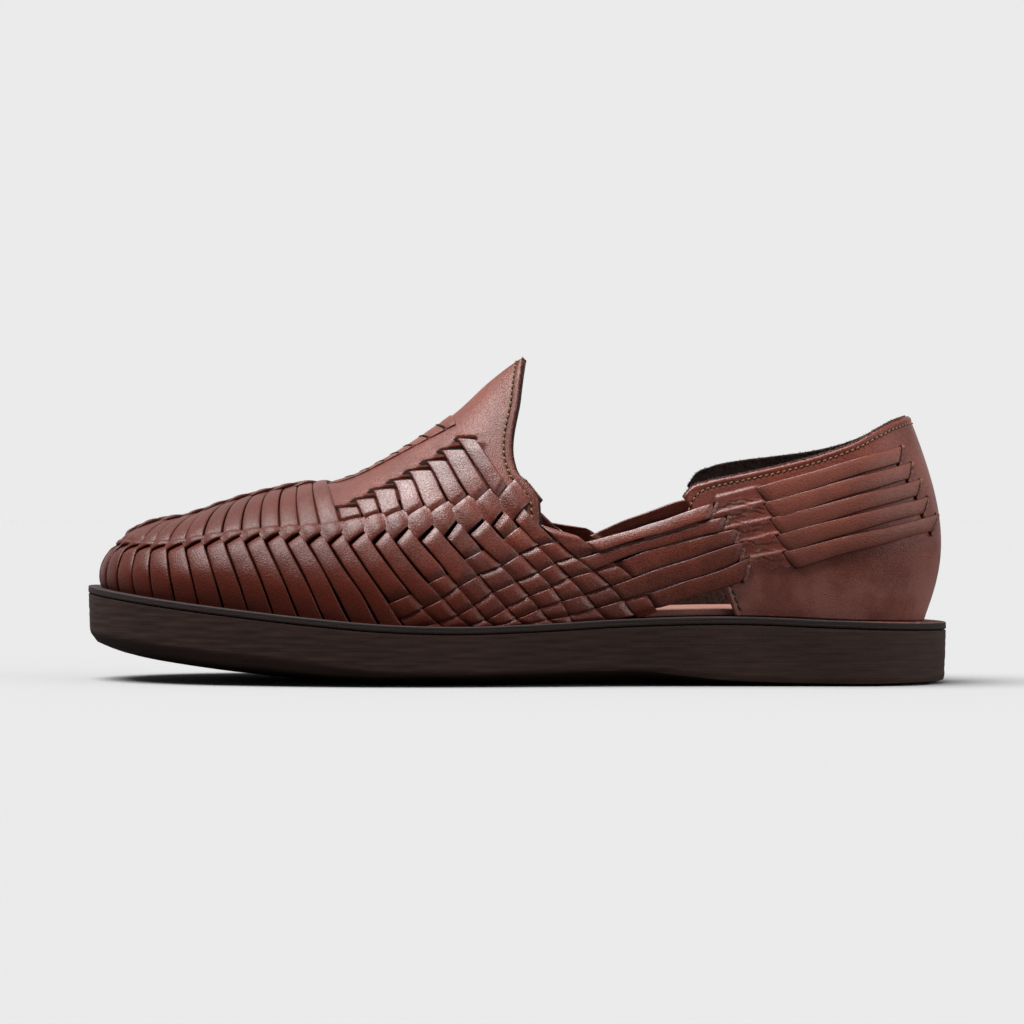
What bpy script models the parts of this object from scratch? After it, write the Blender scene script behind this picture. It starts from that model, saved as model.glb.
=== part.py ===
# A woven leather loafer, left foot, standing empty on its sole.
#
# +X runs to the heel, -X to the toe, -Y is the outer (lateral) side, +Y the inner (medial) side.
# The origin is on the floor, below the middle of the shoe's box.
#
# Every piece of the upper is cut from one form, the skin of the last. A place on it has two
# coordinates. u goes round the shoe's foot line: -1 at the toe, -0.5 on the lateral side, 0 at the
# heel, 0.5 on the medial side and 1 at the toe again. rise goes up a rib: 0 degrees at the foot
# line, 90 on the crest, and on to 180 at the other side's foot line. Tables are in millimetres.

import bmesh
import bpy
import numpy as np

MM = 0.001
SIDES = {-1: "lateral", 1: "medial"}

# Driving dimensions, in millimetres.
SOLE_LENGTH = 295.0
BALL_WIDTH = 104.0
TONGUE_HEIGHT = 110.7       # tip of the tongue above the floor
HEEL_HEIGHT = 90.2          # back of the collar above the floor
STRAP_THICKNESS = 1.3
TONGUE_THICKNESS = 1.8
COUNTER_THICKNESS = 2.0
WEAVE_DEPTH = 0.8           # how far the woven wall reaches inside the skin
MIDSOLE_THICKNESS = 2.4
INSOLE_THICKNESS = 2.4
GAP = 0.3                   # air between pieces that touch
LAP = 0.4                   # height of the straps over the skin, where they lap the tongue or counter
STRAP_COUNT = 5             # long straps on each side

# The last's foot line lies this far inside the sole's edge.
HEEL_LEDGE, SIDE_LEDGE, TOE_LEDGE = 7.3, 5.2, 6.5
HEEL_CAP, TOE_CAP = 33.0, 54.0              # lengths of the sole's rounded ends
SPINE_HEEL, SPINE_TOE = 40.0, 262.0         # ribs fan out from the crest's two ends
CREST_SHIFT = 2.0                           # the crest lies this far to the medial side
BOTTOM_FLAT = 0.45                          # the share of the sole's half width that lies flat

# The sole, by its share of the length from the heel. axis: middle line, and half: half width, as
# shares of the ball width. top: leather midsole's top, under: bottom's middle line, lift: how far
# the bottom's edge curls up from there, bevel: height of the slanting band above that edge.
SOLE = {
    "along": (0.00, 0.12, 0.24, 0.36, 0.46, 0.54, 0.64, 0.72, 0.81, 0.90, 1.00),
    "axis": (.005, .005, -.010, -.034, -.038, -.028, -.006, .010, .036, .062, .082),
    "half": (.317, .322, .327, .341, .392, .445, .493, .500, .474, .442, .404),
    "top": (20.6, 21.7, 23.0, 22.3, 20.7, 19.9, 20.8, 22.9, 25.7, 28.8, 32.5),
    "under": (0.0, 0.0, 0.0, 0.9, 0.3, 0.0, 0.0, 1.2, 3.6, 6.8, 10.6),
    "lift": (0.6, 0.6, 1.6, 3.7, 3.7, 3.5, 3.4, 3.6, 3.6, 3.4, 3.0),
    "bevel": (1.0, 0.9, 0.9, 1.0, 1.0, 1.0, 1.6, 3.0, 3.2, 3.2, 3.0),
}

# The crest of the skin, as a share of the tongue's height. The last goes on above the collar.
CREST = {
    "along": (.136, .305, .440, .492, .525, .563, .603, .644, .681, .719, .766, .820, .888),
    "height": (1.156, 1.118, 1.057, .990, .925, .833, .757, .689, .637, .606, .580, .545, .483),
}

# The ribs' shape. width: power of the height, crown: power that rounds the crest, by the place on
# the crest. swell: how far the wall bulges beyond its foot, by the place on the foot line.
RIBS = {
    "along": (.136, .305, .440, .510, .576, .644, .719, .820, .888),
    "width": (2.00, 1.90, 1.45, 1.35, 1.60, 1.90, 2.10, 2.30, 2.30),
    "crown": (.470, .520, .640, .680, .600, .530, .500, .470, .470),
}
SWELL = {
    "along": (.025, .120, .240, .360, .540, .680, 1.00),
    "share": (.215, .130, .090, .060, .040, .030, .050),
}

# The collar's edge on both sides, by the foot line's share of the length.
COLLAR = {
    "along": (.025, .068, .102, .146, .193, .237, .271, .291, .300),
    "lateral": (HEEL_HEIGHT, 88.3, 83.2, 76.9, 73.2, 70.3, 68.1, 65.8, 62.8),
    "medial": (HEEL_HEIGHT, 87.6, 83.0, 79.0, 77.0, 75.4, 73.3, 70.4, 66.6),
}

# Upright lines on the counter, by the share of its height, each as a distance from the heel: the
# slits that the rear straps leave, the slits that the front ones end in, and its front edge.
COUNTER_LINES = {
    "share": (0.00, 0.29, 0.35, 0.46, 0.57, 0.69, 0.83, 1.00),
    "rear_slits": (44.0, 50.7, 52.1, 54.6, 57.1, 59.9, 63.1, 67.0),
    "front_slits": (63.0, 66.4, 67.2, 68.9, 70.4, 73.6, 78.2, 82.5),
    "front_edge": (71.0, 76.0, 77.1, 79.0, 80.9, 83.0, 85.4, 88.4),
}
COUNTER_COLUMNS = (12, 5, 4)        # between the back and those three lines

# The woven wall's upper edge: the top strap, then the throat, then the slits along the tongue.
# Its lower edge: the bottom strap as it leaves the sole at the waist.
WALL_TOP = {
    "from_heel": (64, 78, 98, 108, 120, 130, 137, 145, 152, 158, 167, 180, 190, 202, 213),
    "lateral": (64.5, 60.8, 54.0, 51.0, 48.4, 50.5, 57.0, 68.0, 76.6, 80.5, 77.8, 71.2, 65.9,
                60.6, 56.8),
    "medial": (66.4, 64.2, 59.4, 55.8, 51.0, 51.6, 57.4, 68.0, 76.6, 80.5, 77.8, 71.2, 65.9,
               60.6, 56.8),
}
WALL_FOOT = {
    "from_heel": (60.0, 69.4, 83.5, 97.0, 101.0),
    "above_sole": (14.5, 11.4, 7.0, 3.2, 0.0),
}
STRAPS = {                          # from the heel: where the straps part, and where they end
    "share": (0.0, 0.1, 0.3, 0.5, 0.7, 0.9, 1.0),       # from the bottom strap to the top one
    "part": (108, 109, 111, 113, 115, 117, 118),
    "end": (67.6, 68.4, 70.2, 71.6, 75.0, 79.8, 82.4),
}
SLIT = 0.10                         # the slits between them open by this share of half a strap
SLOT_FRONT = 213.0                  # from the heel: where the tongue dips under the toe's weave
SLOT_RISE = 0.80                    # share of the crest's height where the toe's weave divides

# The tongue's back edge on both flanks, from its lower corner (0) to the crest (1).
TONGUE_EDGE = {
    "share": (0.00, 0.10, 0.17, 0.23, 0.28, 0.33, 0.60, 0.80, 1.00),
    "lateral": (135.5, 135.3, 136.2, 139.6, 143.0, 144.6, 143.8, 143.3, 143.2),
    "medial": (137.5, 139.6, 142.3, 146.0, 148.4, 149.4, 147.2, 144.8, 143.2),
}
TONGUE_FRONT = 224.0
TONGUE_TUCK = 0.86                  # its lower edge, as a share of the rise of the wall's top

# The straps on the heel: where each starts and ends, by the foot line, with its middle's height.
HEEL_STRAPS = {
    "start": (61.7, 59.4, 57.3, 55.0, 52.4),
    "start_height": (62.9, 57.8, 52.6, 47.2, 41.7),
    "end": (15.7, 13.9, 12.5, 11.4, 9.6),
    "end_height": (76.7, 71.3, 65.7, 60.0, 54.2),
}
HEEL_STRAP_WIDTH = 4.9
HEEL_STRAP_ARCH = 1.6               # how far the straps bow upwards
HEEL_STRAP_SLANT = 0.47             # their front ends lean with the line of slits
HEEL_STRAP_GAP = 0.8                # and stop this far behind it

RIDGE_STRAP = {"front": 208.0, "back": 168.5, "width": 9.0, "thickness": 1.0}


def through(table, column, x):
    """A smooth curve through a table's rows: on each span a cubic between the rows' slopes."""
    first = next(iter(table))
    knots, values = np.array(table[first], float), np.array(table[column], float)
    slopes = np.gradient(values, knots)
    x = np.clip(x, knots[0], knots[-1])
    i = np.clip(np.searchsorted(knots, x) - 1, 0, len(knots) - 2)
    span = knots[i + 1] - knots[i]
    f = (x - knots[i]) / span
    return (values[i] * (1 + 2 * f) * (1 - f) ** 2 + values[i + 1] * f * f * (3 - 2 * f)
            + span * slopes[i] * f * (1 - f) ** 2 - span * slopes[i + 1] * f * f * (1 - f))


def sole_row(column, from_heel):
    return through(SOLE, column, from_heel / SOLE_LENGTH)


def blend(low, high, share):
    return low + (high - low) * share


# ---- the last ----

def foot_line(u, heel_in, side_in, toe_in):
    """The sole's outline drawn in by three margins: distance from the heel, and y."""
    length = SOLE_LENGTH - heel_in - toe_in
    run = length * (1 - np.cos(np.pi * np.abs(u))) / 2
    from_heel = heel_in + run
    heel_end = np.clip(1 - run / (HEEL_CAP - side_in / 2), 0, 1)
    toe_end = np.clip(1 - (length - run) / (TOE_CAP - side_in / 2), 0, 1)
    round_ends = np.sqrt(1 - heel_end ** 2) * (1 - toe_end ** 2.2) ** 0.5
    half = (sole_row("half", from_heel) * BALL_WIDTH - side_in) * round_ends
    return from_heel, sole_row("axis", from_heel) * BALL_WIDTH + np.sign(u) * half


def outline_middle():
    """The y of the middle of the sole's box, so that the origin can lie there."""
    y = foot_line(np.linspace(-1, 1, 401), 0, 0, 0)[1]
    return (y.min() + y.max()) / 2


def spine(from_heel):
    """The crest above a place on the foot line: the ends fan out from the spine's two ends."""
    after_heel = np.hypot(from_heel - SPINE_HEEL, 10.0)
    place = (from_heel + SPINE_HEEL + after_heel) / 2
    before_toe = np.hypot(place - SPINE_TOE, 10.0)
    place = (place + SPINE_TOE - before_toe) / 2
    height = TONGUE_HEIGHT * through(CREST, "height", place / SOLE_LENGTH)
    return place, sole_row("axis", place) * BALL_WIDTH + CREST_SHIFT, height


def rib(u, rise):
    """The skin without an offset, as an array of x, y, z in millimetres."""
    over = rise > 90
    u = np.mod(np.where(over, -u, u) + 1, 2) - 1
    angle = np.radians(np.where(over, 180 - rise, rise))
    foot, foot_y = foot_line(u, HEEL_LEDGE, SIDE_LEDGE, TOE_LEDGE)
    foot_z = sole_row("top", foot) + GAP
    top, top_y, top_z = spine(foot)
    width = through(RIBS, "width", top / SOLE_LENGTH)
    crown = through(RIBS, "crown", top / SOLE_LENGTH)
    share = np.abs(np.sin(angle)) ** (2 / width)
    swell = through(SWELL, "share", foot / SOLE_LENGTH) * np.sin(np.pi * share ** 0.60) ** 2
    reach = np.abs(np.cos(angle)) ** (2 * crown) * (1 + swell)
    from_heel = blend(top, foot, reach)
    return np.stack([SOLE_LENGTH / 2 - from_heel, blend(top_y, foot_y, reach) - outline_middle(),
                     blend(foot_z, top_z, share)], -1)


def skin(u, rise, out=0.0):
    """Points on the skin, moved out along its normal."""
    u, rise, out = np.broadcast_arrays(np.asarray(u, float), np.asarray(rise, float), out)
    along = rib(u + 0.002, rise) - rib(u - 0.002, rise)
    up = rib(u, rise + 1.0) - rib(u, np.maximum(rise - 1.0, 0))
    normal = np.cross(along, up)
    length = np.linalg.norm(normal, axis=-1, keepdims=True)
    upright = np.array([0.0, 0.0, 1.0])     # where all ribs meet, at the crest's toe end
    normal = np.where(length > 1e-6, normal / np.maximum(length, 1e-6), upright)
    points = rib(u, rise) + normal * out[..., None]
    floor = sole_row("top", SOLE_LENGTH / 2 - points[..., 0]) + GAP
    points[..., 2] = np.maximum(points[..., 2], floor)
    return points


def u_at(from_heel, side):
    """The place on the foot line at a distance from the heel: side is -1 lateral, 1 medial."""
    run = (from_heel - HEEL_LEDGE) / (SOLE_LENGTH - HEEL_LEDGE - TOE_LEDGE)
    return side * np.arccos(np.clip(1 - 2 * run, -1, 1)) / np.pi


def from_heel_at(u):
    return HEEL_LEDGE + (SOLE_LENGTH - HEEL_LEDGE - TOE_LEDGE) * (1 - np.cos(np.pi * np.abs(u))) / 2


def rise_at(from_heel, height):
    """The rise at which a rib reaches a height."""
    foot_z = sole_row("top", from_heel) + GAP
    top, _, top_z = spine(from_heel)
    share = np.clip((height - foot_z) / (top_z - foot_z), 0, 1)
    return np.degrees(np.arcsin(share ** (through(RIBS, "width", top / SOLE_LENGTH) / 2)))


# ---- solids ----

def finish(name, points, faces, colour, roughness):
    """A mesh object with its own material; the faces are turned to point outwards."""
    mesh = bpy.data.meshes.new(name)
    mesh.from_pydata((np.asarray(points) * MM).tolist(), [], faces)
    shape = bmesh.new()
    shape.from_mesh(mesh)
    bmesh.ops.recalc_face_normals(shape, faces=shape.faces)
    shape.to_mesh(mesh)
    shape.free()
    piece = bpy.data.objects.new(name, mesh)
    bpy.context.scene.collection.objects.link(piece)
    mesh.shade_smooth()
    mesh.set_sharp_from_angle(angle=np.radians(40))
    material = bpy.data.materials.new(name)
    material.use_nodes = True
    surface = material.node_tree.nodes["Principled BSDF"]
    surface.inputs["Base Color"].default_value = (*colour, 1)
    surface.inputs["Roughness"].default_value = roughness
    surface.inputs["Metallic"].default_value = 0
    mesh.materials.append(material)
    return piece


def wall(name, outer, inner, faces, colour, roughness):
    """A closed wall between two matching sets of points, with a rim round every open edge."""
    count = len(outer)
    edges = {(a, b) for face in faces for a, b in zip(face, face[1:] + face[:1])}
    rims = [(b, a, a + count, b + count) for a, b in edges if (b, a) not in edges]
    back = [[corner + count for corner in reversed(face)] for face in faces]
    return finish(name, np.concatenate([outer, inner]), faces + back + sorted(rims), colour, roughness)


def grid_faces(rows, columns):
    """The faces of a grid of points numbered row by row."""
    corners = [r * columns + c for r in range(rows - 1) for c in range(columns - 1)]
    return [[n, n + 1, n + columns + 1, n + columns] for n in corners]


def slab(name, rings, colour, roughness):
    """A flat piece with a spine: rings run from the top's spine over the edge to the bottom's.

    Each ring is (place, y, z) on the loop of u, and the first and last rings are the spines,
    where the two sides share their points."""
    loop = len(rings[0][0])
    half = loop // 2
    points, starts = [], []
    for r, ring in enumerate(rings):
        starts.append(len(points))
        count = half + 1 if r in (0, len(rings) - 1) else loop
        points += [(SOLE_LENGTH / 2 - ring[0][i], ring[1][i] - outline_middle(), ring[2][i])
                   for i in range(count)]
    faces = []
    for r in range(len(rings) - 1):
        for i in range(loop):
            j = (i + 1) % loop
            face = [number(starts[r], i, loop, r == 0), number(starts[r], j, loop, r == 0)]
            last = r + 1 == len(rings) - 1
            face += [number(starts[r + 1], j, loop, last), number(starts[r + 1], i, loop, last)]
            faces.append(face)
    return finish(name, points, faces, colour, roughness)


def number(start, i, loop, on_spine):
    return start + (min(i, loop - i) if on_spine else i)


SOLE_RIBS = 36          # ribs on each side of a sole piece


def sole_ring(margins, reach, height):
    """A ring of a sole piece: reach 1 is its edge and 0 its spine; height is worked out from the
    distance from the heel."""
    u = -1 + np.arange(2 * SOLE_RIBS) / SOLE_RIBS
    foot, foot_y = foot_line(u, *margins)
    top = spine(foot)[0]
    place = blend(top, foot, reach)
    y = blend(sole_row("axis", top) * BALL_WIDTH, foot_y, reach)
    return place, y, height(place, foot)


# ---- pieces ----

def outsole():
    def top(place, foot):
        return sole_row("top", place) - MIDSOLE_THICKNESS - GAP

    def bottom(share):
        curl = max(0.0, (share - BOTTOM_FLAT) / (1 - BOTTOM_FLAT)) ** 2
        return lambda place, foot: (np.maximum(sole_row("under", place), 0)
                                    + sole_row("lift", foot) * curl)

    def above_bevel(place, foot):
        return (np.maximum(sole_row("under", foot), 0) + sole_row("lift", foot)
                + sole_row("bevel", foot))

    whole, waisted, bevelled = (0, 0, 0), (0.6, 0.6, 0.6), (2.8, 2.2, 3.0)
    rings = [sole_ring(whole, 0, top), sole_ring(whole, 0.6, top), sole_ring(whole, 1, top),
             sole_ring(waisted, 1, above_bevel), sole_ring(bevelled, 1, bottom(1)),
             sole_ring(bevelled, 0.75, bottom(0.75)), sole_ring(bevelled, BOTTOM_FLAT, bottom(0)),
             sole_ring(bevelled, 0, bottom(0))]
    return slab("outsole", rings, (0.055, 0.036, 0.028), 0.85)


def flat_leather(name, margins, lower, upper, colour):
    """A leather sheet that follows the sole's top between two distances above it."""
    def height(above):
        return lambda place, foot: sole_row("top", place) + above

    rings = [sole_ring(margins, 0, height(upper)), sole_ring(margins, 1, height(upper)),
             sole_ring(margins, 1, height(lower)), sole_ring(margins, 0, height(lower))]
    return slab(name, rings, colour, 0.7)


def midsole():
    return flat_leather("midsole", (0, 0, 0), -MIDSOLE_THICKNESS, 0, (0.09, 0.06, 0.055))


def insole():
    inside = COUNTER_THICKNESS + 2 * GAP
    margins = (HEEL_LEDGE + inside, SIDE_LEDGE + inside, TOE_LEDGE + inside)
    return flat_leather("insole", margins, GAP, GAP + INSOLE_THICKNESS, (0.45, 0.24, 0.17))


def wall_top_rise(from_heel, side):
    """The rise of the woven wall's upper edge; past the slot it goes on at a share of the crest."""
    beyond = rise_at(from_heel, blend(sole_row("top", from_heel), spine(from_heel)[2], SLOT_RISE))
    height = through(WALL_TOP, SIDES[side], np.minimum(from_heel, SLOT_FRONT))
    return np.where(from_heel > SLOT_FRONT, beyond, rise_at(from_heel, height))


def wall_foot_rise(from_heel):
    above = through(WALL_FOOT, "above_sole", from_heel)
    return rise_at(from_heel, sole_row("top", from_heel) + GAP + above)


def upper():
    """The woven vamp and its long straps, as one hollow wall.

    Each side is a grid: columns from the toe's middle to the place where the straps part, then on
    to their ends; two rows a strap. In front of the tongue's slot more rows reach the crest."""
    toe_columns, throat_columns, strap_columns, crown_rows = 14, 16, 8, 4
    woven, rows = toe_columns + throat_columns, 2 * STRAP_COUNT
    share = np.arange(rows + 1) / rows
    part, end = through(STRAPS, "part", share), through(STRAPS, "end", share)
    slot = u_at(SLOT_FRONT, 1)
    u = np.concatenate([
        blend(1.0, slot + 0 * share, np.arange(toe_columns)[:, None] / toe_columns),
        blend(slot, u_at(part, 1), np.arange(throat_columns)[:, None] / throat_columns),
        u_at(blend(part, end, np.arange(strap_columns + 1)[:, None] / strap_columns), 1)])
    from_heel = from_heel_at(u)
    up_crown = np.arange(1, crown_rows + 1) / crown_rows
    rise = {}
    for side in SIDES:
        wall_rise = blend(wall_foot_rise(from_heel), wall_top_rise(from_heel, side), share)
        rise[side] = np.concatenate([wall_rise, blend(wall_rise[:, -1:], 90.0, up_crown)], 1)
    u = np.concatenate([u, np.repeat(u[:, -1:], crown_rows, 1)], 1)

    # The wall lies over the tongue and over the counter's front edge, and inside the skin elsewhere.
    column, row = np.arange(len(u))[:, None], np.arange(rows + crown_rows + 1)
    over_tongue = (row >= 0.8 * rows) & (from_heel_at(u) > 119) & (from_heel_at(u) < 233)
    over_counter = np.clip((column - woven) / (strap_columns / 2), 0, 1)
    depth = np.where(over_tongue, LAP, blend(-WEAVE_DEPTH, LAP, over_counter))

    numbers, places = {}, []

    def corner(side, c, r, edge):
        """The number of a grid point. Where two straps part it is split: edge is 1 for the lower
        edge of the strap above, and -1 for the upper edge of the strap below."""
        parted = edge != 0 and c > woven and 0 < r < rows
        key = (0 if c == 0 or r == rows + crown_rows else side, c, r, edge if parted else 0)
        if key not in numbers:
            numbers[key] = len(places)
            half_strap = rise[side][c, r] - rise[side][c, r - 1]
            slit = SLIT * edge * half_strap * (c - woven) / strap_columns if parted else 0.0
            places.append((side * u[c, r], rise[side][c, r] + slit, depth[c, r]))
        return numbers[key]

    faces = []
    for side in SIDES:
        for c in range(len(u) - 1):
            for r in range(rows if c >= toe_columns else rows + crown_rows):
                low, high = (1, 0) if r % 2 == 0 else (0, -1)
                face = [corner(side, c, r, low), corner(side, c + 1, r, low),
                        corner(side, c + 1, r + 1, high), corner(side, c, r + 1, high)]
                faces.append(face if side < 0 else face[::-1])
    place_u, place_rise, place_depth = np.array(places).T
    outer = skin(place_u, place_rise, LAP + STRAP_THICKNESS)
    return wall("upper", outer, skin(place_u, place_rise, place_depth), faces, (0.20, 0.075, 0.055), 0.5)


def tongue():
    """The plain tongue: from under the toe's weave back to its tip, and down both flanks."""
    columns, half_rows = 16, 9
    share = np.arange(half_rows + 1) / half_rows
    column = np.arange(columns + 1)[:, None] / columns
    u, rise = {}, {}
    for side in SIDES:
        from_heel = blend(TONGUE_FRONT, through(TONGUE_EDGE, SIDES[side], share), column)
        foot = TONGUE_TUCK * wall_top_rise(from_heel[:, :1], side)
        u[side], rise[side] = u_at(from_heel, side), blend(foot, 90.0, share)
    u = np.concatenate([u[-1], u[1][:, -2::-1]], 1)
    rise = np.concatenate([rise[-1], rise[1][:, -2::-1]], 1)
    return wall("tongue", skin(u, rise).reshape(-1, 3), skin(u, rise, -TONGUE_THICKNESS).reshape(-1, 3),
                grid_faces(columns + 1, 2 * half_rows + 1), (0.26, 0.11, 0.08), 0.45)


def counter():
    """The heel's wall, from one front edge round the back to the other; it swells over the hidden
    runs of the straps, between the two lines of slits."""
    rows = 10
    share = np.arange(rows + 1)[:, None] / rows
    lines = [HEEL_LEDGE + 0 * share]
    lines += [through(COUNTER_LINES, name, share) for name in ("rear_slits", "front_slits", "front_edge")]
    spans = [blend(start, end, np.arange(1, n + 1) / n)
             for start, end, n in zip(lines, lines[1:], COUNTER_COLUMNS)]
    side_u = u_at(np.concatenate(spans, 1), 1)
    u = np.concatenate([-side_u[:, ::-1], 0 * share, side_u], 1)
    from_heel = from_heel_at(u)
    along = from_heel / SOLE_LENGTH
    collar = np.where(u < 0, through(COLLAR, "lateral", along), through(COLLAR, "medial", along))
    rise = rise_at(from_heel, blend(sole_row("top", from_heel) + GAP, collar, share))
    step = np.arange(1, sum(COUNTER_COLUMNS) + 1)
    bridged = (step > COUNTER_COLUMNS[0]) & (step < COUNTER_COLUMNS[0] + COUNTER_COLUMNS[1])
    bridged = np.concatenate([bridged[::-1], [False], bridged])
    swollen = bridged & (share > 0.25) & (share < 0.85)
    outer = skin(u, rise, np.where(swollen, LAP + STRAP_THICKNESS, 0.0))
    inner = skin(u, rise, -COUNTER_THICKNESS)
    return wall("counter", outer.reshape(-1, 3), inner.reshape(-1, 3),
                grid_faces(rows + 1, u.shape[1]), (0.22, 0.085, 0.06), 0.45)


def heel_strap(side, k):
    """The rear run of one long strap, on top of the counter."""
    columns = 10
    share = np.arange(columns + 1) / columns
    across = np.array([-0.5, 0.0, 0.5])[:, None] * HEEL_STRAP_WIDTH
    start = HEEL_STRAPS["start"][k] - HEEL_STRAP_GAP + HEEL_STRAP_SLANT * across
    u = blend(u_at(start, side), u_at(HEEL_STRAPS["end"][k], side), share)
    middle = blend(HEEL_STRAPS["start_height"][k], HEEL_STRAPS["end_height"][k], share)
    middle = middle + HEEL_STRAP_ARCH * 4 * share * (1 - share)
    rise = rise_at(from_heel_at(u), middle + across)
    outer = skin(u, rise, LAP + STRAP_THICKNESS)
    inner = skin(u, rise, LAP)
    return wall(f"heel_strap_{SIDES[side]}_{k + 1}", outer.reshape(-1, 3), inner.reshape(-1, 3),
                grid_faces(3, columns + 1), (0.20, 0.075, 0.055), 0.5)


def ridge_strap():
    """The strap that is threaded along the tongue's crest."""
    columns = 10
    from_heel = blend(RIDGE_STRAP["back"], RIDGE_STRAP["front"], np.arange(columns + 1) / columns)
    half_width = np.array([-1, -0.5, 0, 0.5, 1])[:, None] * RIDGE_STRAP["width"] / 2
    foot, foot_y = foot_line(u_at(from_heel, 1), HEEL_LEDGE, SIDE_LEDGE, TOE_LEDGE)
    top, top_y, _ = spine(foot)
    crown = through(RIBS, "crown", top / SOLE_LENGTH)
    reach = np.abs(half_width) / (foot_y - top_y)
    rise = 90 + np.sign(half_width) * (90 - np.degrees(np.arccos(reach ** (0.5 / crown))))
    u = np.broadcast_to(u_at(from_heel, -1), rise.shape)
    outer, inner = skin(u, rise, LAP + RIDGE_STRAP["thickness"]), skin(u, rise, LAP)
    return wall("ridge_strap", outer.reshape(-1, 3), inner.reshape(-1, 3),
                grid_faces(5, columns + 1), (0.24, 0.10, 0.075), 0.5)


def main():
    for thing in list(bpy.data.objects):
        bpy.data.objects.remove(thing, do_unlink=True)
    outsole()
    midsole()
    insole()
    upper()
    tongue()
    ridge_strap()
    counter()
    for side in SIDES:
        for k in range(STRAP_COUNT):
            heel_strap(side, k)


main()
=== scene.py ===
# A woven leather loafer for the left foot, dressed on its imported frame.
#
# +X runs to the heel, -X to the toe, -Y is the outer side, +Y the inner side; the floor is z = 0.
# Straps, tongue and counter lie on one form, the skin of the last. A place on it has two
# coordinates: u goes round the foot line (0 at the heel, 1 at the toe, below 0 on the outer side),
# rise goes up a rib (0 at the foot line, 90 on the crest). Lengths are in millimetres until a mesh
# is made.
import bpy
import numpy as np
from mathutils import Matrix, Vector


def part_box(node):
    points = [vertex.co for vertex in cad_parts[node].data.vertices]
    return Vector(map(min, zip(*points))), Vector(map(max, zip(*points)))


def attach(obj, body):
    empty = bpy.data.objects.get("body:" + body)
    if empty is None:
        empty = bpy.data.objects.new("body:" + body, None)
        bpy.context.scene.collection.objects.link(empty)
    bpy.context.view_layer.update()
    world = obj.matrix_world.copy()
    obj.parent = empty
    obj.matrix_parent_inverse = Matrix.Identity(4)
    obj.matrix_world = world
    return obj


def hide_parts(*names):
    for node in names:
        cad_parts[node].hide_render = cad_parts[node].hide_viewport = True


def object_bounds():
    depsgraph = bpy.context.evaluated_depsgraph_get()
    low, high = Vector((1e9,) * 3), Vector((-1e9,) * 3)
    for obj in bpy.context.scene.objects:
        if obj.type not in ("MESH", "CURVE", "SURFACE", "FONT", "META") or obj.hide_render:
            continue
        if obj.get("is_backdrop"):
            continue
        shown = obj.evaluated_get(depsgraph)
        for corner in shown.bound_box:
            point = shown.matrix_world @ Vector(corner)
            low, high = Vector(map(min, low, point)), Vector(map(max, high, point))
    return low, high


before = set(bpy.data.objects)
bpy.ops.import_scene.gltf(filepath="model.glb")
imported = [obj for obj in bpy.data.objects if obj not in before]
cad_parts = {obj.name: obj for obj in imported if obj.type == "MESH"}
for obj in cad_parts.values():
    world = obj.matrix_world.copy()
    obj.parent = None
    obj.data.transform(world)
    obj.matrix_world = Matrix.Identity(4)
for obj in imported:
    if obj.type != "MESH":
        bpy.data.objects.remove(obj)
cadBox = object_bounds()
print("frame loaded:", len(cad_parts), "nodes")

mm = 0.001
rng = np.random.default_rng(7)
sideNames = {-1: "lateral", 1: "medial"}


soleLow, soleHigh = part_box("outsole")
last = {
    "length": round((soleHigh.x - soleLow.x) / mm, 1),  # of the sole
    "ballWidth": 104.0,
    "tongueHeight": 110.7,      # tip of the tongue above the floor
    "heelHeight": 90.2,         # back of the collar above the floor
    "heelLedge": 7.3, "sideLedge": 5.2, "toeLedge": 6.5,  # foot line inside the sole's edge
    "heelCap": 33.0, "toeCap": 54.0,        # lengths of the sole's rounded ends
    "spineHeel": 40.0, "spineToe": 262.0,   # ribs fan out from the crest's two ends
    "crestShift": 2.0,
    "sidesAlike": 145.0,        # from here to the toe both sides have one height
    "air": 0.3,                 # between pieces that touch
}
sole = {
    "along": (.00, .12, .24, .36, .46, .54, .64, .72, .81, .90, 1.00),
    "axis": (.005, .005, -.010, -.034, -.038, -.028, -.006, .010, .036, .062, .082),
    "half": (.317, .322, .327, .341, .392, .445, .493, .500, .474, .442, .404),
    "top": (20.6, 21.7, 23.0, 22.3, 20.7, 19.9, 20.8, 22.9, 25.7, 28.8, 32.5),
    "under": (0.0, 0.0, 0.0, 0.9, 0.3, 0.0, 0.0, 1.2, 3.6, 6.8, 10.6),
    "lift": (0.6, 0.6, 1.6, 3.7, 3.7, 3.5, 3.4, 3.6, 3.6, 3.4, 3.0),
    "bevel": (1.0, 0.9, 0.9, 1.0, 1.0, 1.0, 1.6, 3.0, 3.2, 3.2, 3.0),
}
crest = {
    "along": (.136, .305, .440, .492, .525, .563, .603, .644, .681, .719, .766, .820, .888),
    "height": (1.156, 1.118, 1.057, .990, .925, .833, .757, .689, .637, .606, .580, .545, .483),
}
ribs = {
    "along": (.136, .305, .440, .510, .576, .644, .719, .820, .888),
    "width": (2.00, 1.90, 1.45, 1.35, 1.60, 1.90, 2.10, 2.30, 2.30),
    "crown": (.470, .520, .640, .680, .600, .530, .500, .470, .470),
}
swell = {
    "along": (.025, .120, .240, .360, .540, .680, 1.00),
    "share": (.215, .130, .090, .060, .040, .030, .050),
}
collar = {
    "along": (.025, .047, .072, .102, .146, .193, .237, .271, .291, .300),
    "lateral": (90.4, 88.5, 85.4, 81.2, 76.8, 73.2, 70.3, 68.1, 65.8, 62.8),
    "medial": (90.4, 88.4, 85.4, 82.2, 79.0, 77.0, 75.4, 73.3, 70.4, 66.6),
}
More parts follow.
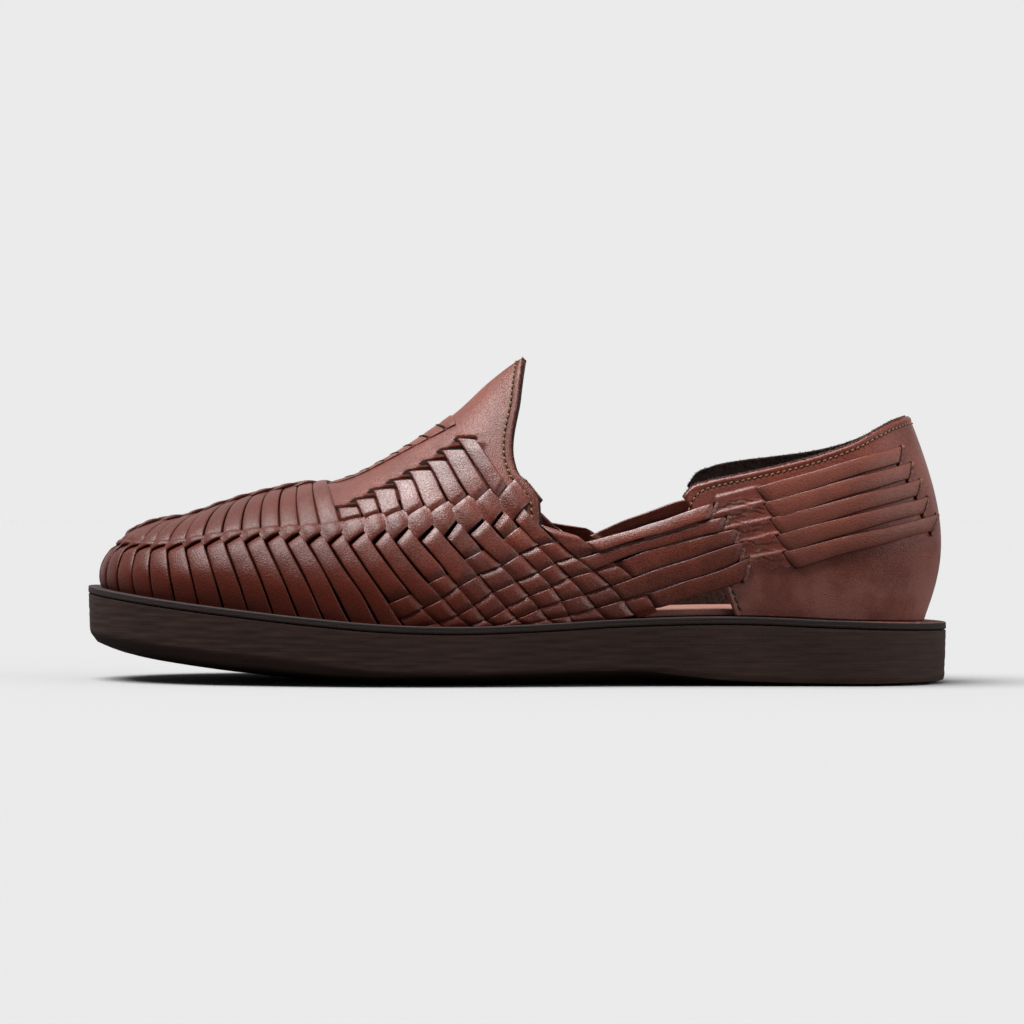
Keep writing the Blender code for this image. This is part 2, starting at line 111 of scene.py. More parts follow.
wallTop = {     # upper edge of the woven wall, by the distance from the heel
    "fromHeel": (64, 78, 98, 108, 120, 130, 137, 145, 152, 158, 167, 180, 190, 202, 213),
    "lateral": (64.5, 60.8, 54.0, 51.0, 48.4, 50.5, 57.0, 68.0, 76.6, 80.5, 77.8, 71.2, 65.9,
                60.6, 56.8),
}
wallTop["medial"] = (66.4, 64.2, 59.4, 55.8, 51.0, 51.6, 57.4) + wallTop["lateral"][7:]


# Smooth curve through a table: on each span a cubic between the slopes of the rows.
def through(table, column, x):
    first = next(iter(table))
    knots, values = np.array(table[first], float), np.array(table[column], float)
    slopes = np.gradient(values, knots)
    x = np.clip(x, knots[0], knots[-1])
    i = np.clip(np.searchsorted(knots, x) - 1, 0, len(knots) - 2)
    span = knots[i + 1] - knots[i]
    f = (x - knots[i]) / span
    return (values[i] * (1 + 2 * f) * (1 - f) ** 2 + values[i + 1] * f * f * (3 - 2 * f)
            + span * slopes[i] * f * (1 - f) ** 2 - span * slopes[i + 1] * f * f * (1 - f))


# low at share 0, high at share 1, even between.
def mixed(low, high, share):
    return low + (high - low) * share


# 0 below 0, 1 above 1, and 3x^2 - 2x^3 between.
def smooth(x):
    x = np.clip(x, 0, 1)
    return x * x * (3 - 2 * x)


# 1 at 0 and falling off on both sides: exp(-(x / width)^2).
def bell(x, width):
    return np.exp(-(x / width) ** 2)


# A column of the sole's table at a distance from the heel.
def soleRow(column, fromHeel):
    return through(sole, column, fromHeel / last["length"])


# Middle line of the sole, sideways.
def soleMiddle(fromHeel):
    return soleRow("axis", fromHeel) * last["ballWidth"]


# Sole outline drawn in by three margins: distance from the heel runs as (1 - cos(pi u)) / 2, half
# width is the table's, rounded off at both ends as 1 - x^2 and 1 - x^2.2 under a root.
def footLine(u, margins):
    heelIn, sideIn, toeIn = margins
    length = last["length"] - heelIn - toeIn
    run = length * (1 - np.cos(np.pi * np.abs(u))) / 2
    fromHeel = heelIn + run
    heelEnd = np.clip(1 - run / (last["heelCap"] - sideIn / 2), 0, 1)
    toeEnd = np.clip(1 - (length - run) / (last["toeCap"] - sideIn / 2), 0, 1)
    roundEnds = np.sqrt(1 - heelEnd ** 2) * (1 - toeEnd ** 2.2) ** 0.5
    half = (soleRow("half", fromHeel) * last["ballWidth"] - sideIn) * roundEnds
    return fromHeel, soleMiddle(fromHeel) + np.sign(u) * half


footMargins = (last["heelLedge"], last["sideLedge"], last["toeLedge"])
footRun = last["length"] - last["heelLedge"] - last["toeLedge"]
outlineY = footLine(np.linspace(-1, 1, 401), (0, 0, 0))[1]
middleY = (outlineY.min() + outlineY.max()) / 2


# Crest over a place on the foot line: x softly held between the spine's two ends by (x + a +-
# hypot(x - a, 10)) / 2, height from the crest's table.
def spine(fromHeel):
    place = (fromHeel + last["spineHeel"] + np.hypot(fromHeel - last["spineHeel"], 10.0)) / 2
    place = (place + last["spineToe"] - np.hypot(place - last["spineToe"], 10.0)) / 2
    height = last["tongueHeight"] * through(crest, "height", place / last["length"])
    return place, soleMiddle(place) + last["crestShift"], height


# Exponents of the rib that ends on the crest here.
def ribShape(top):
    return (through(ribs, name, top / last["length"]) for name in ("width", "crown"))


# Distance from the heel on the foot line: (1 - cos(pi u)) / 2 of its length.
def fromHeelAt(u):
    return last["heelLedge"] + footRun * (1 - np.cos(np.pi * np.abs(u))) / 2


# The foot line lies on the sole's top, with air between.
def footHeight(fromHeel):
    return soleRow("top", fromHeel) + last["air"]


# Skin point: height share |sin|^(2/width), reach |cos|^(2 crown) (1 + swell sin^2(pi share^0.6)).
def rib(u, rise):
    over = rise > 90
    u = np.mod(np.where(over, -u, u) + 1, 2) - 1
    angle = np.radians(np.where(over, 180 - rise, rise))
    foot, footY = footLine(u, footMargins)
    top, topY, topZ = spine(foot)
    width, crown = ribShape(top)
    share = np.abs(np.sin(angle)) ** (2 / width)
    bulge = through(swell, "share", foot / last["length"]) * np.sin(np.pi * share ** 0.60) ** 2
    reach = np.abs(np.cos(angle)) ** (2 * crown) * (1 + bulge)
    fromHeel = mixed(top, foot, reach)
    return np.stack([last["length"] / 2 - fromHeel, mixed(topY, footY, reach) - middleY,
                     mixed(footHeight(foot), topZ, share)], -1)


# Distance of points from the heel: half the length less x.
def fromHeelOf(points):
    return last["length"] / 2 - points[..., 0]


# Skin point moved along its normal, the cross product of the two directions on the skin.
def skin(u, rise, out=0.0):
    u, rise, out = np.broadcast_arrays(np.asarray(u, float), np.asarray(rise, float), out)
    sunk = np.clip(-rise, 0, 2)             # a negative rise runs straight down into the sole
    rise = np.maximum(rise, 0)
    along = rib(u + 0.002, rise) - rib(u - 0.002, rise)
    up = rib(u, rise + 1.0) - rib(u, np.maximum(rise - 1.0, 0))
    normal = np.cross(along, up)
    length = np.linalg.norm(normal, axis=-1, keepdims=True)
    normal = np.where(length > 1e-6, normal / np.maximum(length, 1e-6), np.array([0.0, 0, 1]))
    points = rib(u, rise) + normal * out[..., None]
    points[..., 2] = np.maximum(points[..., 2], footHeight(fromHeelOf(points))) - sunk
    return points


# Foot line coordinate at a distance from the heel: arccos(1 - 2 share) / pi.
def uAt(fromHeel):
    run = (fromHeel - last["heelLedge"]) / footRun
    return np.arccos(np.clip(1 - 2 * run, -1, 1)) / np.pi


# Rise where a rib reaches a height: the height share's formula turned round.
def riseAt(fromHeel, height):
    top, _, topZ = spine(fromHeel)
    footZ = footHeight(fromHeel)
    share = np.clip((height - footZ) / (topZ - footZ), 0, 1)
    width, _ = ribShape(top)
    return np.degrees(np.arcsin(share ** (width / 2)))


# Height at a rise: sin(rise)^(2 / width) of the way from the foot line to the crest.
def heightAt(fromHeel, rise):
    top, _, topZ = spine(fromHeel)
    width, _ = ribShape(top)
    return mixed(footHeight(fromHeel), topZ, np.abs(np.sin(np.radians(rise))) ** (2 / width))


# Rise of the woven wall's upper edge.
def wallTopRise(fromHeel, side):
    return riseAt(fromHeel, through(wallTop, sideNames[side], fromHeel))


# Quads of a grid of points numbered row by row; around joins the last column to the first.
def gridQuads(rows, columns, around=False):
    r, c = np.meshgrid(np.arange(rows - 1), np.arange(columns - (not around)), indexing="ij")
    n, m = r * columns + c, r * columns + (c + 1) % columns
    return np.stack([n, m, m + columns, n + columns], -1).reshape(-1, 4)


# Turns every face round if the volume inside, the sum of p . (q x r) over the fans, is below 0.
def turnedOut(points, faces):
    volume = 0.0
    for group in faces:
        p = points[group]
        for k in range(1, group.shape[1] - 1):
            volume += np.einsum("ij,ij->i", p[:, 0], np.cross(p[:, k], p[:, k + 1])).sum()
    return [group[:, ::-1] for group in faces] if volume < 0 else faces


# Two matching grids of points, joined by a rim into one closed solid.
def closedWall(outer, inner):
    rows, columns = outer.shape[:2]
    count = rows * columns
    points = np.concatenate([outer.reshape(-1, 3), inner.reshape(-1, 3)])
    front = gridQuads(rows, columns)
    index = np.arange(count).reshape(rows, columns)
    border = np.concatenate([index[0, :-1], index[:-1, -1], index[-1, :0:-1], index[:0:-1, 0]])
    after = np.roll(border, -1)
    rim = np.stack([after, border, border + count, after + count], -1)
    faces = [np.concatenate([front, front[:, ::-1] + count, rim])]
    return points, turnedOut(points, faces)


# Many closed tubes at once: points are (tube, ring, point on the ring, xyz), ends capped.
def closedTubes(points):
    count, steps, ring = points.shape[:3]
    starts = (np.arange(count) * steps * ring)[:, None]
    quads = (gridQuads(steps, ring, around=True)[None] + starts[..., None]).reshape(-1, 4)
    cap = np.arange(ring)
    caps = np.concatenate([starts + cap[::-1], starts + (steps - 1) * ring + cap])
    flat = points.reshape(-1, 3)
    return flat, turnedOut(flat, [quads, caps])


# Vectors over their lengths.
def unit(v):
    return v / np.maximum(np.linalg.norm(v, axis=-1, keepdims=True), 1e-9)


# Vectors turned to point the way of a direction.
def facing(vectors, direction):
    return vectors * np.sign((vectors * np.array(direction, float)).sum(-1, keepdims=True))


# One mesh from (points, faces) shapes, set down in the shared frame and riding on it.
def makePiece(name, shapes, material, replaced=(), marks=None, sharp=None):
    points = np.concatenate([p for p, _ in shapes])
    starts = np.cumsum([0] + [len(p) for p, _ in shapes])
    groups = [g + start for (_, faces), start in zip(shapes, starts) for g in faces]
    sizes = np.concatenate([np.full(len(g), g.shape[1]) for g in groups])
    mesh = bpy.data.meshes.new(name)
    mesh.vertices.add(len(points))
    mesh.vertices.foreach_set("co", (points * mm).astype(np.float32).ravel())
    mesh.loops.add(int(sizes.sum()))
    corners = np.concatenate([g.ravel() for g in groups])
    mesh.loops.foreach_set("vertex_index", corners.astype(np.int32))
    mesh.polygons.add(len(sizes))
    mesh.polygons.foreach_set("loop_start", (np.cumsum(sizes) - sizes).astype(np.int32))
    mesh.update(calc_edges=True)
    for mark, values in (marks or {}).items():
        kind, field = ("FLOAT_VECTOR", "vector") if values.ndim == 2 else ("FLOAT", "value")
        layer = mesh.attributes.new(mark, kind, "POINT")
        layer.data.foreach_set(field, np.asarray(values, np.float32).ravel())
    mesh.validate()
    mesh.shade_smooth()
    if sharp:
        mesh.set_sharp_from_angle(angle=np.radians(sharp))
    piece = bpy.data.objects.new(name, mesh)
    bpy.context.scene.collection.objects.link(piece)
    mesh.materials.append(material)
    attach(piece, "root")
    if replaced:
        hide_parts(*replaced)
    print(f"{name}: {int((sizes - 2).sum())} triangles")


# Links another node's socket to this one, or sets its value; a colour gets its alpha.
def putIn(socket, value):
    if isinstance(value, bpy.types.NodeSocket):
        socket.id_data.links.new(value, socket)
    else:
        socket.default_value = (*value, 1) if socket.type == "RGBA" else value


# A node with its settings made and its sockets filled.
def addNode(tree, kind, sockets=None, **settings):
    node = tree.nodes.new(kind)
    for key, value in settings.items():
        setattr(node, key, value)
    for key, value in (sockets or {}).items():
        putIn(node.inputs[key], value)
    return node


# A new material, its shader and the coordinates that its patterns lie on.
def newMaterial(name):
    material = bpy.data.materials.new(name)
    material.use_nodes = True
    tree = material.node_tree
    place = addNode(tree, "ShaderNodeTexCoord").outputs["Object"]
    return material, tree.nodes["Principled BSDF"], place


# The node helpers below find the material through their first socket.
def mixColour(share, low, high):
    sockets = {0: share, 6: low, 7: high}
    return addNode(share.id_data, "ShaderNodeMix", sockets, data_type="RGBA").outputs[2]


# toLow where the value is low, toHigh where it is high, even between and held outside.
def ramp(value, low, high, toLow=0.0, toHigh=1.0):
    return addNode(value.id_data, "ShaderNodeMapRange", {
        "Value": value, "From Min": low, "From Max": high, "To Min": toLow,
        "To Max": toHigh}).outputs[0]


# Tints a colour with another one where the value passes from low to high, by most at the most.
def tint(colour, other, value, low, high, most=1.0):
    return mixColour(ramp(value, low, high, 0.0, most), colour, other)


# One step of arithmetic on sockets.
def calculate(operation, a, b=0.0):
    return addNode(a.id_data, "ShaderNodeMath", {0: a, 1: b}, operation=operation).outputs[0]


# Product of a socket and others.
def times(product, *others):
    for other in others:
        product = calculate("MULTIPLY", product, other)
    return product


# Cloudy noise with this many clouds a metre.
def noise(vector, scale, detail=3.0, rough=0.5):
    return addNode(vector.id_data, "ShaderNodeTexNoise", {
        "Vector": vector, "Scale": scale, "Detail": detail, "Roughness": rough}).outputs["Fac"]


# A vector's three parts.
def split(vector):
    return addNode(vector.id_data, "ShaderNodeSeparateXYZ", {"Vector": vector}).outputs


# Coordinates times a scale along each axis.
def stretched(vector, scale):
    sockets = {"Vector": vector, "Scale": scale}
    return addNode(vector.id_data, "ShaderNodeMapping", sockets).outputs[0]


# A mark that the mesh carries at its points.
def pointMark(surface, name, output="Fac"):
    return addNode(surface.id_data, "ShaderNodeAttribute", attribute_name=name).outputs[output]


# Colour, relief (height of the bumps in metres), roughness and gloss on a shader's own sockets.
def finish(surface, colour, height, relief, strength=1.0, rough=.7, gloss=.5):
    bump = addNode(surface.id_data, "ShaderNodeBump", {"Height": height, "Distance": relief,
                                                       "Strength": strength})
    for name, value in (("Base Color", colour), ("Roughness", rough), ("Normal", bump.outputs[0]),
                        ("Specular IOR Level", gloss)):
        putIn(surface.inputs[name], value)


# A colour times a share.
def darker(colour, share):
    return tuple(c * share for c in colour)


leatherLooks = {
    # tone, deep and pale: linear colours; grain: pebbles a metre; shine: roughness
    "strap_leather": dict(
        tone=(.172, .037, .0215), deep=(.072, .0125, .0066), pale=(.235, .066, .042),
        grain=1950.0, shine=.35, polish=.78, relief=.00008),
    "tongue_leather": dict(
        tone=(.165, .044, .027), deep=(.100, .0225, .0135), pale=(.215, .066, .044),
        grain=2300.0, shine=.33, polish=.45, relief=.00012),
    "counter_leather": dict(
        tone=(.205, .050, .032), deep=(.110, .0225, .0135), pale=(.250, .074, .052),
        grain=2300.0, shine=.38, polish=1.0, relief=.00008),
}
# Tints over the leather: painted light toward the heel on the straps, a painted sheen low on the
# counter with its share by piece, and pale cut edges with painted highlights
lightAndEdgeTints = {
    "painted_heel_light": (.26, .102, .078), "painted_sheen": (.30, .135, .115), "pale_edge_and_highlight": (.52, .36, .31),
    "painted_sheen_share": {"tongue_leather": 0.0, "counter_leather": .8},
}


# Smooth aniline leather: broad colour clouds, fine pebbled grain and pores, painted shade low down
# toward the toe and, on straps, faint streaks along the strap, sides darkened partly as burnished
# edges and partly as painted shade between the straps, a tone of its own for each strap and painted
# light toward the heel; on other pieces painted shade, dark edges, pale cut edges and painted
# highlights from the mesh's marks, and a painted sheen low on the counter.
def leather(name):
    look = leatherLooks[name]
    deep = look["deep"]
    material, surface, place = newMaterial(name)
    clouds = noise(place, 60.0, 4.0, 0.6)
    mottle = noise(place, 900.0, 3.0, 0.7)
    grain = noise(place, look["grain"], 2.0, 0.6)
    cells = addNode(surface.id_data, "ShaderNodeTexVoronoi", {
        "Vector": place, "Scale": look["grain"]}, feature="F1").outputs["Distance"]
    colour = tint(deep, look["tone"], clouds, .36, .62)
    colour = tint(colour, look["pale"], mottle, .48, .78, .55)
    colour = tint(colour, deep, cells, .35, .70, .65)
    height = calculate("SUBTRACT", grain, times(cells, .8))
    rough = ramp(clouds, .35, .65, look["shine"] + .05, look["shine"] - .03)
    # painted shade: darker low down and toward the toe; less gloss low at the toe and toward the
    # heel
    ahead, _, up = split(place)
    low = calculate("ADD", ahead, times(up, 1.6))
    colour = tint(colour, darker(deep, .7), low, .09, 0.0, .85)
    gloss = times(ramp(grain, .35, .65, .30, .85), ramp(ahead, .055, .09, 1.0, .45),
                  ramp(low, .02, .07, .35, 1.0), look["polish"])
    if name == "strap_leather":
        run, across, chance = split(pointMark(surface, "strapPlace", "Vector"))
        drawn = addNode(surface.id_data, "ShaderNodeCombineXYZ", {
            "X": times(run, .10), "Y": times(across, 1.6), "Z": times(chance, 40.0)}).outputs[0]
        colour = tint(colour, deep, noise(drawn, 2.0, 2.0, 0.5), .50, .80, .35)
        colour = tint(colour, deep, chance, 0.0, 1.0, .50)
        # painted light: lighter toward the heel, where the rear straps take more light
        colour = tint(colour, lightAndEdgeTints["painted_heel_light"], ahead, .06, .10, .35)
        # sides darker: partly burnished edges, partly painted shade in the gaps between the straps
        side = calculate("ABSOLUTE", across)
        colour = tint(colour, darker(deep, .6), side, .85, 1.0, .85)
    else:
        # painted shade and dark edges from one mark, darker and duller there; pale cut edges and
        # painted highlights from the other
        dark, paleEdgeAndHighlight = pointMark(surface, "painted_shade_and_dark_edge"), pointMark(surface, "pale_edge_and_highlight")
        colour = mixColour(times(dark, .8), colour, darker(deep, .55))
        # painted sheen: low on the counter the colour goes toward a pale pinkish grey, in clouds
        painted_sheen_share = times(ramp(up, .048, .032), ramp(clouds, .40, .60, .25, .65),
                      lightAndEdgeTints["painted_sheen_share"][name])
        colour = mixColour(painted_sheen_share, colour, lightAndEdgeTints["painted_sheen"])
        # pale cut edges and painted highlights on the band's crease ridges and toward the tongue's
        # crest
        colour = mixColour(times(paleEdgeAndHighlight, ramp(mottle, .35, .6)), colour, lightAndEdgeTints["pale_edge_and_highlight"])
        gloss = times(gloss, ramp(dark, .2, 1.0, 1.0, .1))
    finish(surface, colour, height, look["relief"], 1.0, rough, gloss)
    return material


# Rough nap: short tangled noise, lighter on its peaks.
def suede(name, dark, pale, scale=900.0):
    material, surface, place = newMaterial(name)
    nap = noise(place, scale, 6.0, 0.75)
    colour = tint(tint(dark, pale, nap, .40, .72), dark, noise(place, 90.0), .35, .65, .4)
    finish(surface, colour, nap, .0003, .9, .95, .15)
    return material


# Crepe-like dark rubber, sanded along the edge: noise drawn out along x and pressed in z.
def rubber():
    material, surface, place = newMaterial("rubber")
    lines = noise(stretched(place, (14.0, 14.0, 900.0)), 1.0, 5.0, 0.65)
    fine = noise(place, 2600.0, 3.0, 0.7)
    patches = noise(place, 26.0, 3.0, 0.55)
    # painted light: lighter toward the heel, where more light falls from behind
    colour = tint((.0290, .0142, .0112), (.0400, .0212, .0158), split(place)[0], -.10, .10)
    colour = tint(colour, (.052, .0285, .0215), lines, .38, .66, .40)
    colour = tint(colour, (.012, .0062, .0052), patches, .38, .66, .40)
    height = calculate("ADD", lines, times(fine, .6))
    finish(surface, colour, height, .00018, .7, ramp(fine, .3, .7, .62, .82), .18)
    return material


# Twisted thread: slanting bands, light on their crests.
def thread(name, tone, deep):
    material, surface, place = newMaterial(name)
    twist = addNode(surface.id_data, "ShaderNodeTexWave", {
        "Vector": place, "Scale": 1400.0, "Distortion": 2.0},
        bands_direction="DIAGONAL").outputs["Fac"]
    finish(surface, mixColour(twist, deep, tone), twist, .0001)
    return material


strapLeather = leather("strap_leather")
tongueLeather = leather("tongue_leather")
counterLeather = leather("counter_leather")
blackLining = suede("lining_black", (.010, .007, .0065), (.080, .053, .047))
brownLining = suede("lining_brown", (.022, .011, .008), (.095, .050, .038))
# near-black nap for painted shade in slits, awl holes and the gaps under the straps
paintedShade = suede("painted_shade", (.0025, .0018, .0016), (.008, .005, .004))
rubberDark = rubber()
ochreThread = thread("thread_ochre", (.34, .18, .07), (.17, .075, .028))
darkThread = thread("thread_dark", (.05, .02, .014), (.012, .006, .005))
paleFibre = suede("fibre_pale", (.10, .040, .030), (.26, .14, .11))
frayed = suede("leather_frayed", (.11, .040, .030), (.36, .19, .155), scale=1500.0)
print("materials ready")


view = {
    "lens": 125.0, "from": (0.0919, -1.213, 0.058), "towards": (0, 0, .0577),
}
camera = bpy.data.objects.new("camera", bpy.data.cameras.new("camera"))
camera.data.lens, camera.data.sensor_width = view["lens"], 36.0
camera.data.clip_start, camera.data.clip_end = .05, 60.0
camera.location = view["from"]
aim = Vector(view["towards"]) - camera.location
camera.rotation_euler = aim.to_track_quat("-Z", "Y").to_euler()
bpy.context.scene.collection.objects.link(camera)
bpy.context.scene.camera = camera

studio = {
    "background": .83,      # seen behind the floor
    "floor": .292, "bounce": .07,    # paper's shade to the camera, and in the light it gives back
    "back": .60, "front": .05, "above": .20,    # soft light by where it comes from
    "top": 7.6, "topFrom": (-.35, -.10, .93), "topSize": 48.0,
    "side": 2.7, "sideFrom": (.93, -.34, .10), "sideSize": 70.0,
}


# Sun from a direction; its size is the angle that it fills, in degrees.
def sunLight(name, power, source, size):
    light = bpy.data.objects.new(name, bpy.data.lights.new(name, "SUN"))
    light.data.energy, light.data.angle = power, np.radians(size)
    light.rotation_euler = Vector(source).to_track_quat("Z", "Y").to_euler()
    bpy.context.scene.collection.objects.link(light)


# Sky whose strength runs from front to back and rises overhead; the camera sees it plain.
def studioLight():
    world = bpy.data.worlds.new("studio")
    world.use_nodes = True
    tree = world.node_tree
    _, back, up = split(addNode(tree, "ShaderNodeTexCoord").outputs["Generated"])
    level = calculate("ADD", ramp(back, -.5, .6, studio["front"], studio["back"]),
                      ramp(up, .3, 1.0, 0.0, studio["above"]))
    seen = addNode(tree, "ShaderNodeLightPath").outputs["Is Camera Ray"]
    mix = addNode(tree, "ShaderNodeMix", {0: seen, 2: level, 3: studio["background"]})
    sky = tree.nodes["Background"]
    putIn(sky.inputs["Strength"], mix.outputs[0])
    putIn(sky.inputs["Color"], (1, 1, 1))
    bpy.context.scene.world = world
    sunLight("top_light", studio["top"], studio["topFrom"], studio["topSize"])
    sunLight("side_light", studio["side"], studio["sideFrom"], studio["sideSize"])


# Plain paper, whose shade to the camera is its own and not the one that it gives back.
def floor(size=20.0):
    mesh = bpy.data.meshes.new("studio_floor")
    mesh.from_pydata([(-size, -size, 0), (size, -size, 0), (size, size, 0), (-size, size, 0)], [],
                     [(0, 1, 2, 3)])
    ground = bpy.data.objects.new("studio_floor", mesh)
    material, surface, _ = newMaterial("studio_floor")
    seen = addNode(surface.id_data, "ShaderNodeLightPath").outputs["Is Camera Ray"]
    shade = mixColour(seen, (studio["bounce"],) * 3, (studio["floor"],) * 3)
    putIn(surface.inputs["Base Color"], shade)
    putIn(surface.inputs["Roughness"], 1.0)
    putIn(surface.inputs["Specular IOR Level"], 0.0)
    mesh.materials.append(material)
    bpy.context.scene.collection.objects.link(ground)
    ground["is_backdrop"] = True


bpy.context.scene.view_settings.view_transform = "Standard"
studioLight()
floor()


# Line a is the front edge of cross strap a: its distance from the heel where it passes each rise.
# Lines 1 to 12 are on this table; lines 0 to -12 go on round the toe at even steps.
chart = {
    "rise": (0, 10, 20, 30, 40, 50, 60),
    "lines": (
        (197.4, 202.1, 206.9, 211.8, 216.0, 219.5, 222.5),
        (188.0, 193.1, 199.5, 204.9, 209.0, 212.5, 215.5),
        (179.8, 185.8, 192.6, 198.4, 201.7, 204.0, 207.0),
        (167.0, 175.7, 184.2, 190.9, 194.2, 197.5, 200.5),
        (157.5, 165.5, 175.9, 183.8, 188.2, 191.0, 194.3),
        (150.0, 156.8, 166.5, 176.0, 181.3, 184.0, 188.0),
        (140.5, 147.0, 156.3, 167.3, 174.0, 178.0, 182.0),
        (131.0, 137.6, 146.7, 159.0, 166.3, 171.2, 176.0),
        (124.5, 129.2, 138.6, 149.9, 159.5, 165.5, 170.0),
        (113.5, 121.6, 132.0, 142.9, 152.2, 159.0, 164.2),
        (103.5, 112.8, 125.8, 137.5, 146.5, 153.8, 160.0),
        (95.0, 104.6, 119.0, 131.5, 141.0, 148.5, 155.0)),
    "toeLines": 13,
}
# Upper edge of each lengthwise row, as the rise where it passes a line.
rows = {
    "line": (3, 4, 5, 6, 7, 8, 9, 10, 11, 12),
    1: (8.0, 12.0, 15.9, 19.0, 23.3, 25.9, 27.8, 29.5, 30.5, 31.0),
    2: (2.5, 7.4, 11.6, 15.5, 19.2, 21.2, 23.1, 23.6, 23.2, 21.3),
    3: (-2.5, 2.0, 5.9, 10.0, 14.4, 16.5, 17.4, 18.4, 18.5, 18.6),
    4: (-6.0, -3.0, 1.0, 4.5, 9.1, 11.6, 12.9, 14.1, 14.0, 13.7),
    5: (-9.0, -6.5, -4.0, 0.0, 4.2, 7.3, 8.4, 8.9, 9.4, 9.9),
    6: (-12.0, -10.0, -8.0, -4.0, 0.0, 2.5, 3.2, 4.5, 5.4, 5.7),
    7: (-16.0, -14.0, -12.0, -8.0, -4.0, -2.0, -1.0, -.5, .6, 2.1),
    "lastTile": (27.6, 22.6),   # upper corners of the rearmost tile of row 2
}
# Cross straps 3 to 10 leave the tongue by slits and dip once under the plait: the rises of the
# slit, the tip under it and the plait's lower edge, at the strap's front and rear lines.
floats = {
    "strap": (3, 4, 5, 6, 7, 8, 9, 10),
    "slitFront": (51.2, 53.2, 55.5, 56.5, 58.0, 59.1, 61.1, 62.7),
    "slitRear": (47.7, 49.3, 50.9, 52.4, 53.4, 54.7, 55.6, 56.4),
    "tipFront": (40.8, 39.8, 38.3, 37.2, 37.2, 37.8, 37.9, 37.5),
    "tipRear": (41.0, 40.8, 40.4, 40.2, 40.2, 40.4, 40.8, 41.0),
    "lowFront": (30.3, 29.5, 29.4, 29.3, 29.7, 30.3, 31.6, 31.3),
    "lowRear": (34.6, 33.9, 34.1, 33.7, 34.2, 33.8, 34.6, 34.1),
    "toeTip": (41.0, 41.4), "toeLow": (33.0, 37.6),
}
# The five long straps a side: rises of the edges between them, from the top one's upper edge down.
longStraps = {
    "fromHeel": (66, 78, 90, 102, 114, 126),
    0: (23.4, 22.0, 20.8, 20.1, 20.6, 21.8),
    1: (19.9, 18.8, 17.7, 17.5, 17.7, 18.4),
    2: (17.0, 15.9, 15.1, 14.8, 14.3, 14.0),
    3: (14.3, 12.7, 11.2, 10.2, 9.3, 8.6),
    4: (11.2, 8.6, 7.0, 5.8, 5.2, 5.0),
    5: (7.0, 4.9, 3.1, 1.6, 0.3, -0.5),
}
longEnds = {    # ends by the distance from the heel, starts by the chart, tilt of each strap
    "upper": (77.6, 73.6, 70.2, 68.4, 66.3), "lower": (79.6, 75.6, 71.6, 69.8, 68.8),
    "startLine": (12, 11, 12, 11, 12), "startRise": (20.0, 16.4, 12.0, 7.6, 3.6),
    "roll": (-1.3, -.6, -.1, .1, .1), "startTall": 3.6,
}


# Foot line coordinate of every line at whole rises, first index line -12 to 12.
def chartPlaces():
    riseSteps = np.arange(0, 91.0)
    table = {"rise": chart["rise"]}
    table.update({k: row for k, row in enumerate(chart["lines"])})
    near = np.array([uAt(through(table, k, np.minimum(riseSteps, 60))) for k in range(12)])
    edge = np.linspace(near[0, 0], 1, 400)      # even steps round the toe, by arc length
    at = np.stack(footLine(edge, footMargins), -1)
    arc = np.concatenate([[0], np.cumsum(np.linalg.norm(np.diff(at, axis=0), axis=1))])
    toe = chart["toeLines"]
    steps = np.interp(arc[-1] * np.arange(toe, 0, -1) / toe, arc, edge)
    lean = (near[0] - near[0, 0]) * (np.arange(0, toe) / toe)[:, None]
    return np.concatenate([steps[:, None] + lean, near])


chartGrid = chartPlaces()


# Foot line coordinate on line a at a rise: bilinear in the table of lines.
def chartU(a, rise):
    x = np.clip(a + 12, 0, 24 - 1e-9)
    y = np.clip(rise, 0, 89.999)
    i, j = x.astype(int), y.astype(int)
    p, q = x - i, y - j
    low = mixed(chartGrid[i, j], chartGrid[i, j + 1], q)
    return mixed(low, mixed(chartGrid[i + 1, j], chartGrid[i + 1, j + 1], q), p)


# On the inner side the throat stands higher: heights there are stretched by the ratio of the two
# wall tops.
def sideRise(u, rise, side):
    if side < 0:
        return rise
    fromHeel = fromHeelAt(u)
    foot = footHeight(fromHeel)
    ratio = ((through(wallTop, "medial", fromHeel) - foot)
             / (through(wallTop, "lateral", fromHeel) - foot))
    ratio = np.where(fromHeel < last["sidesAlike"], ratio, 1.0)
    height = foot + (heightAt(fromHeel, rise) - foot) * ratio
    return np.where(rise > 0, riseAt(fromHeel, height), rise)


strap = {
    "thickness": 1.3, "base": 0.4, "crown": 0.22,   # crown: middle of a strap over its edges
    "gap": 0.16,            # bare edge on each side
    "reach": 2.7,           # length over which an end dives under its neighbour
    "tuck": 1.1,            # run beyond the visible end
    "dive": 1.45,
    "roll": .16, "lift": 0.0, "jitter": .07, "shift": .10,      # tilt, rise and wandering
}
# Cross section, as (distance in from the edge, height share, share of the crown).
section = np.array([(0.0, .64, 0), (.06, .87, 0), (.20, .98, 0), (.60, 1.0, .45), (2.2, 1.0, .88)])
under = np.array([(.12, .14), (.45, 0.0)])
sectionShare = np.concatenate([section[:, 1], [1], section[::-1, 1], under[:, 1], under[::-1, 1]])
sectionCrown = np.concatenate([section[:, 2], [1], section[::-1, 2], [0] * 4])


# Distances of the section's points from the strap's middle, and the half width they end at.
def sectionAcross(width, bare):
    half = width / 2 - bare
    inset = section[:, 0] * np.minimum(1, width / 7)
    return np.concatenate([inset - half, 0 * half, (half - inset)[..., ::-1], half - under[:, 0],
                           under[::-1, 0] - half], -1), half


# Skin points at one length and width share of each strap.
def strapPoints(placeOf, count, v, w):
    k = np.arange(count)
    return skin(*placeOf(k, v + 0.0 * k, w + 0.0 * k))


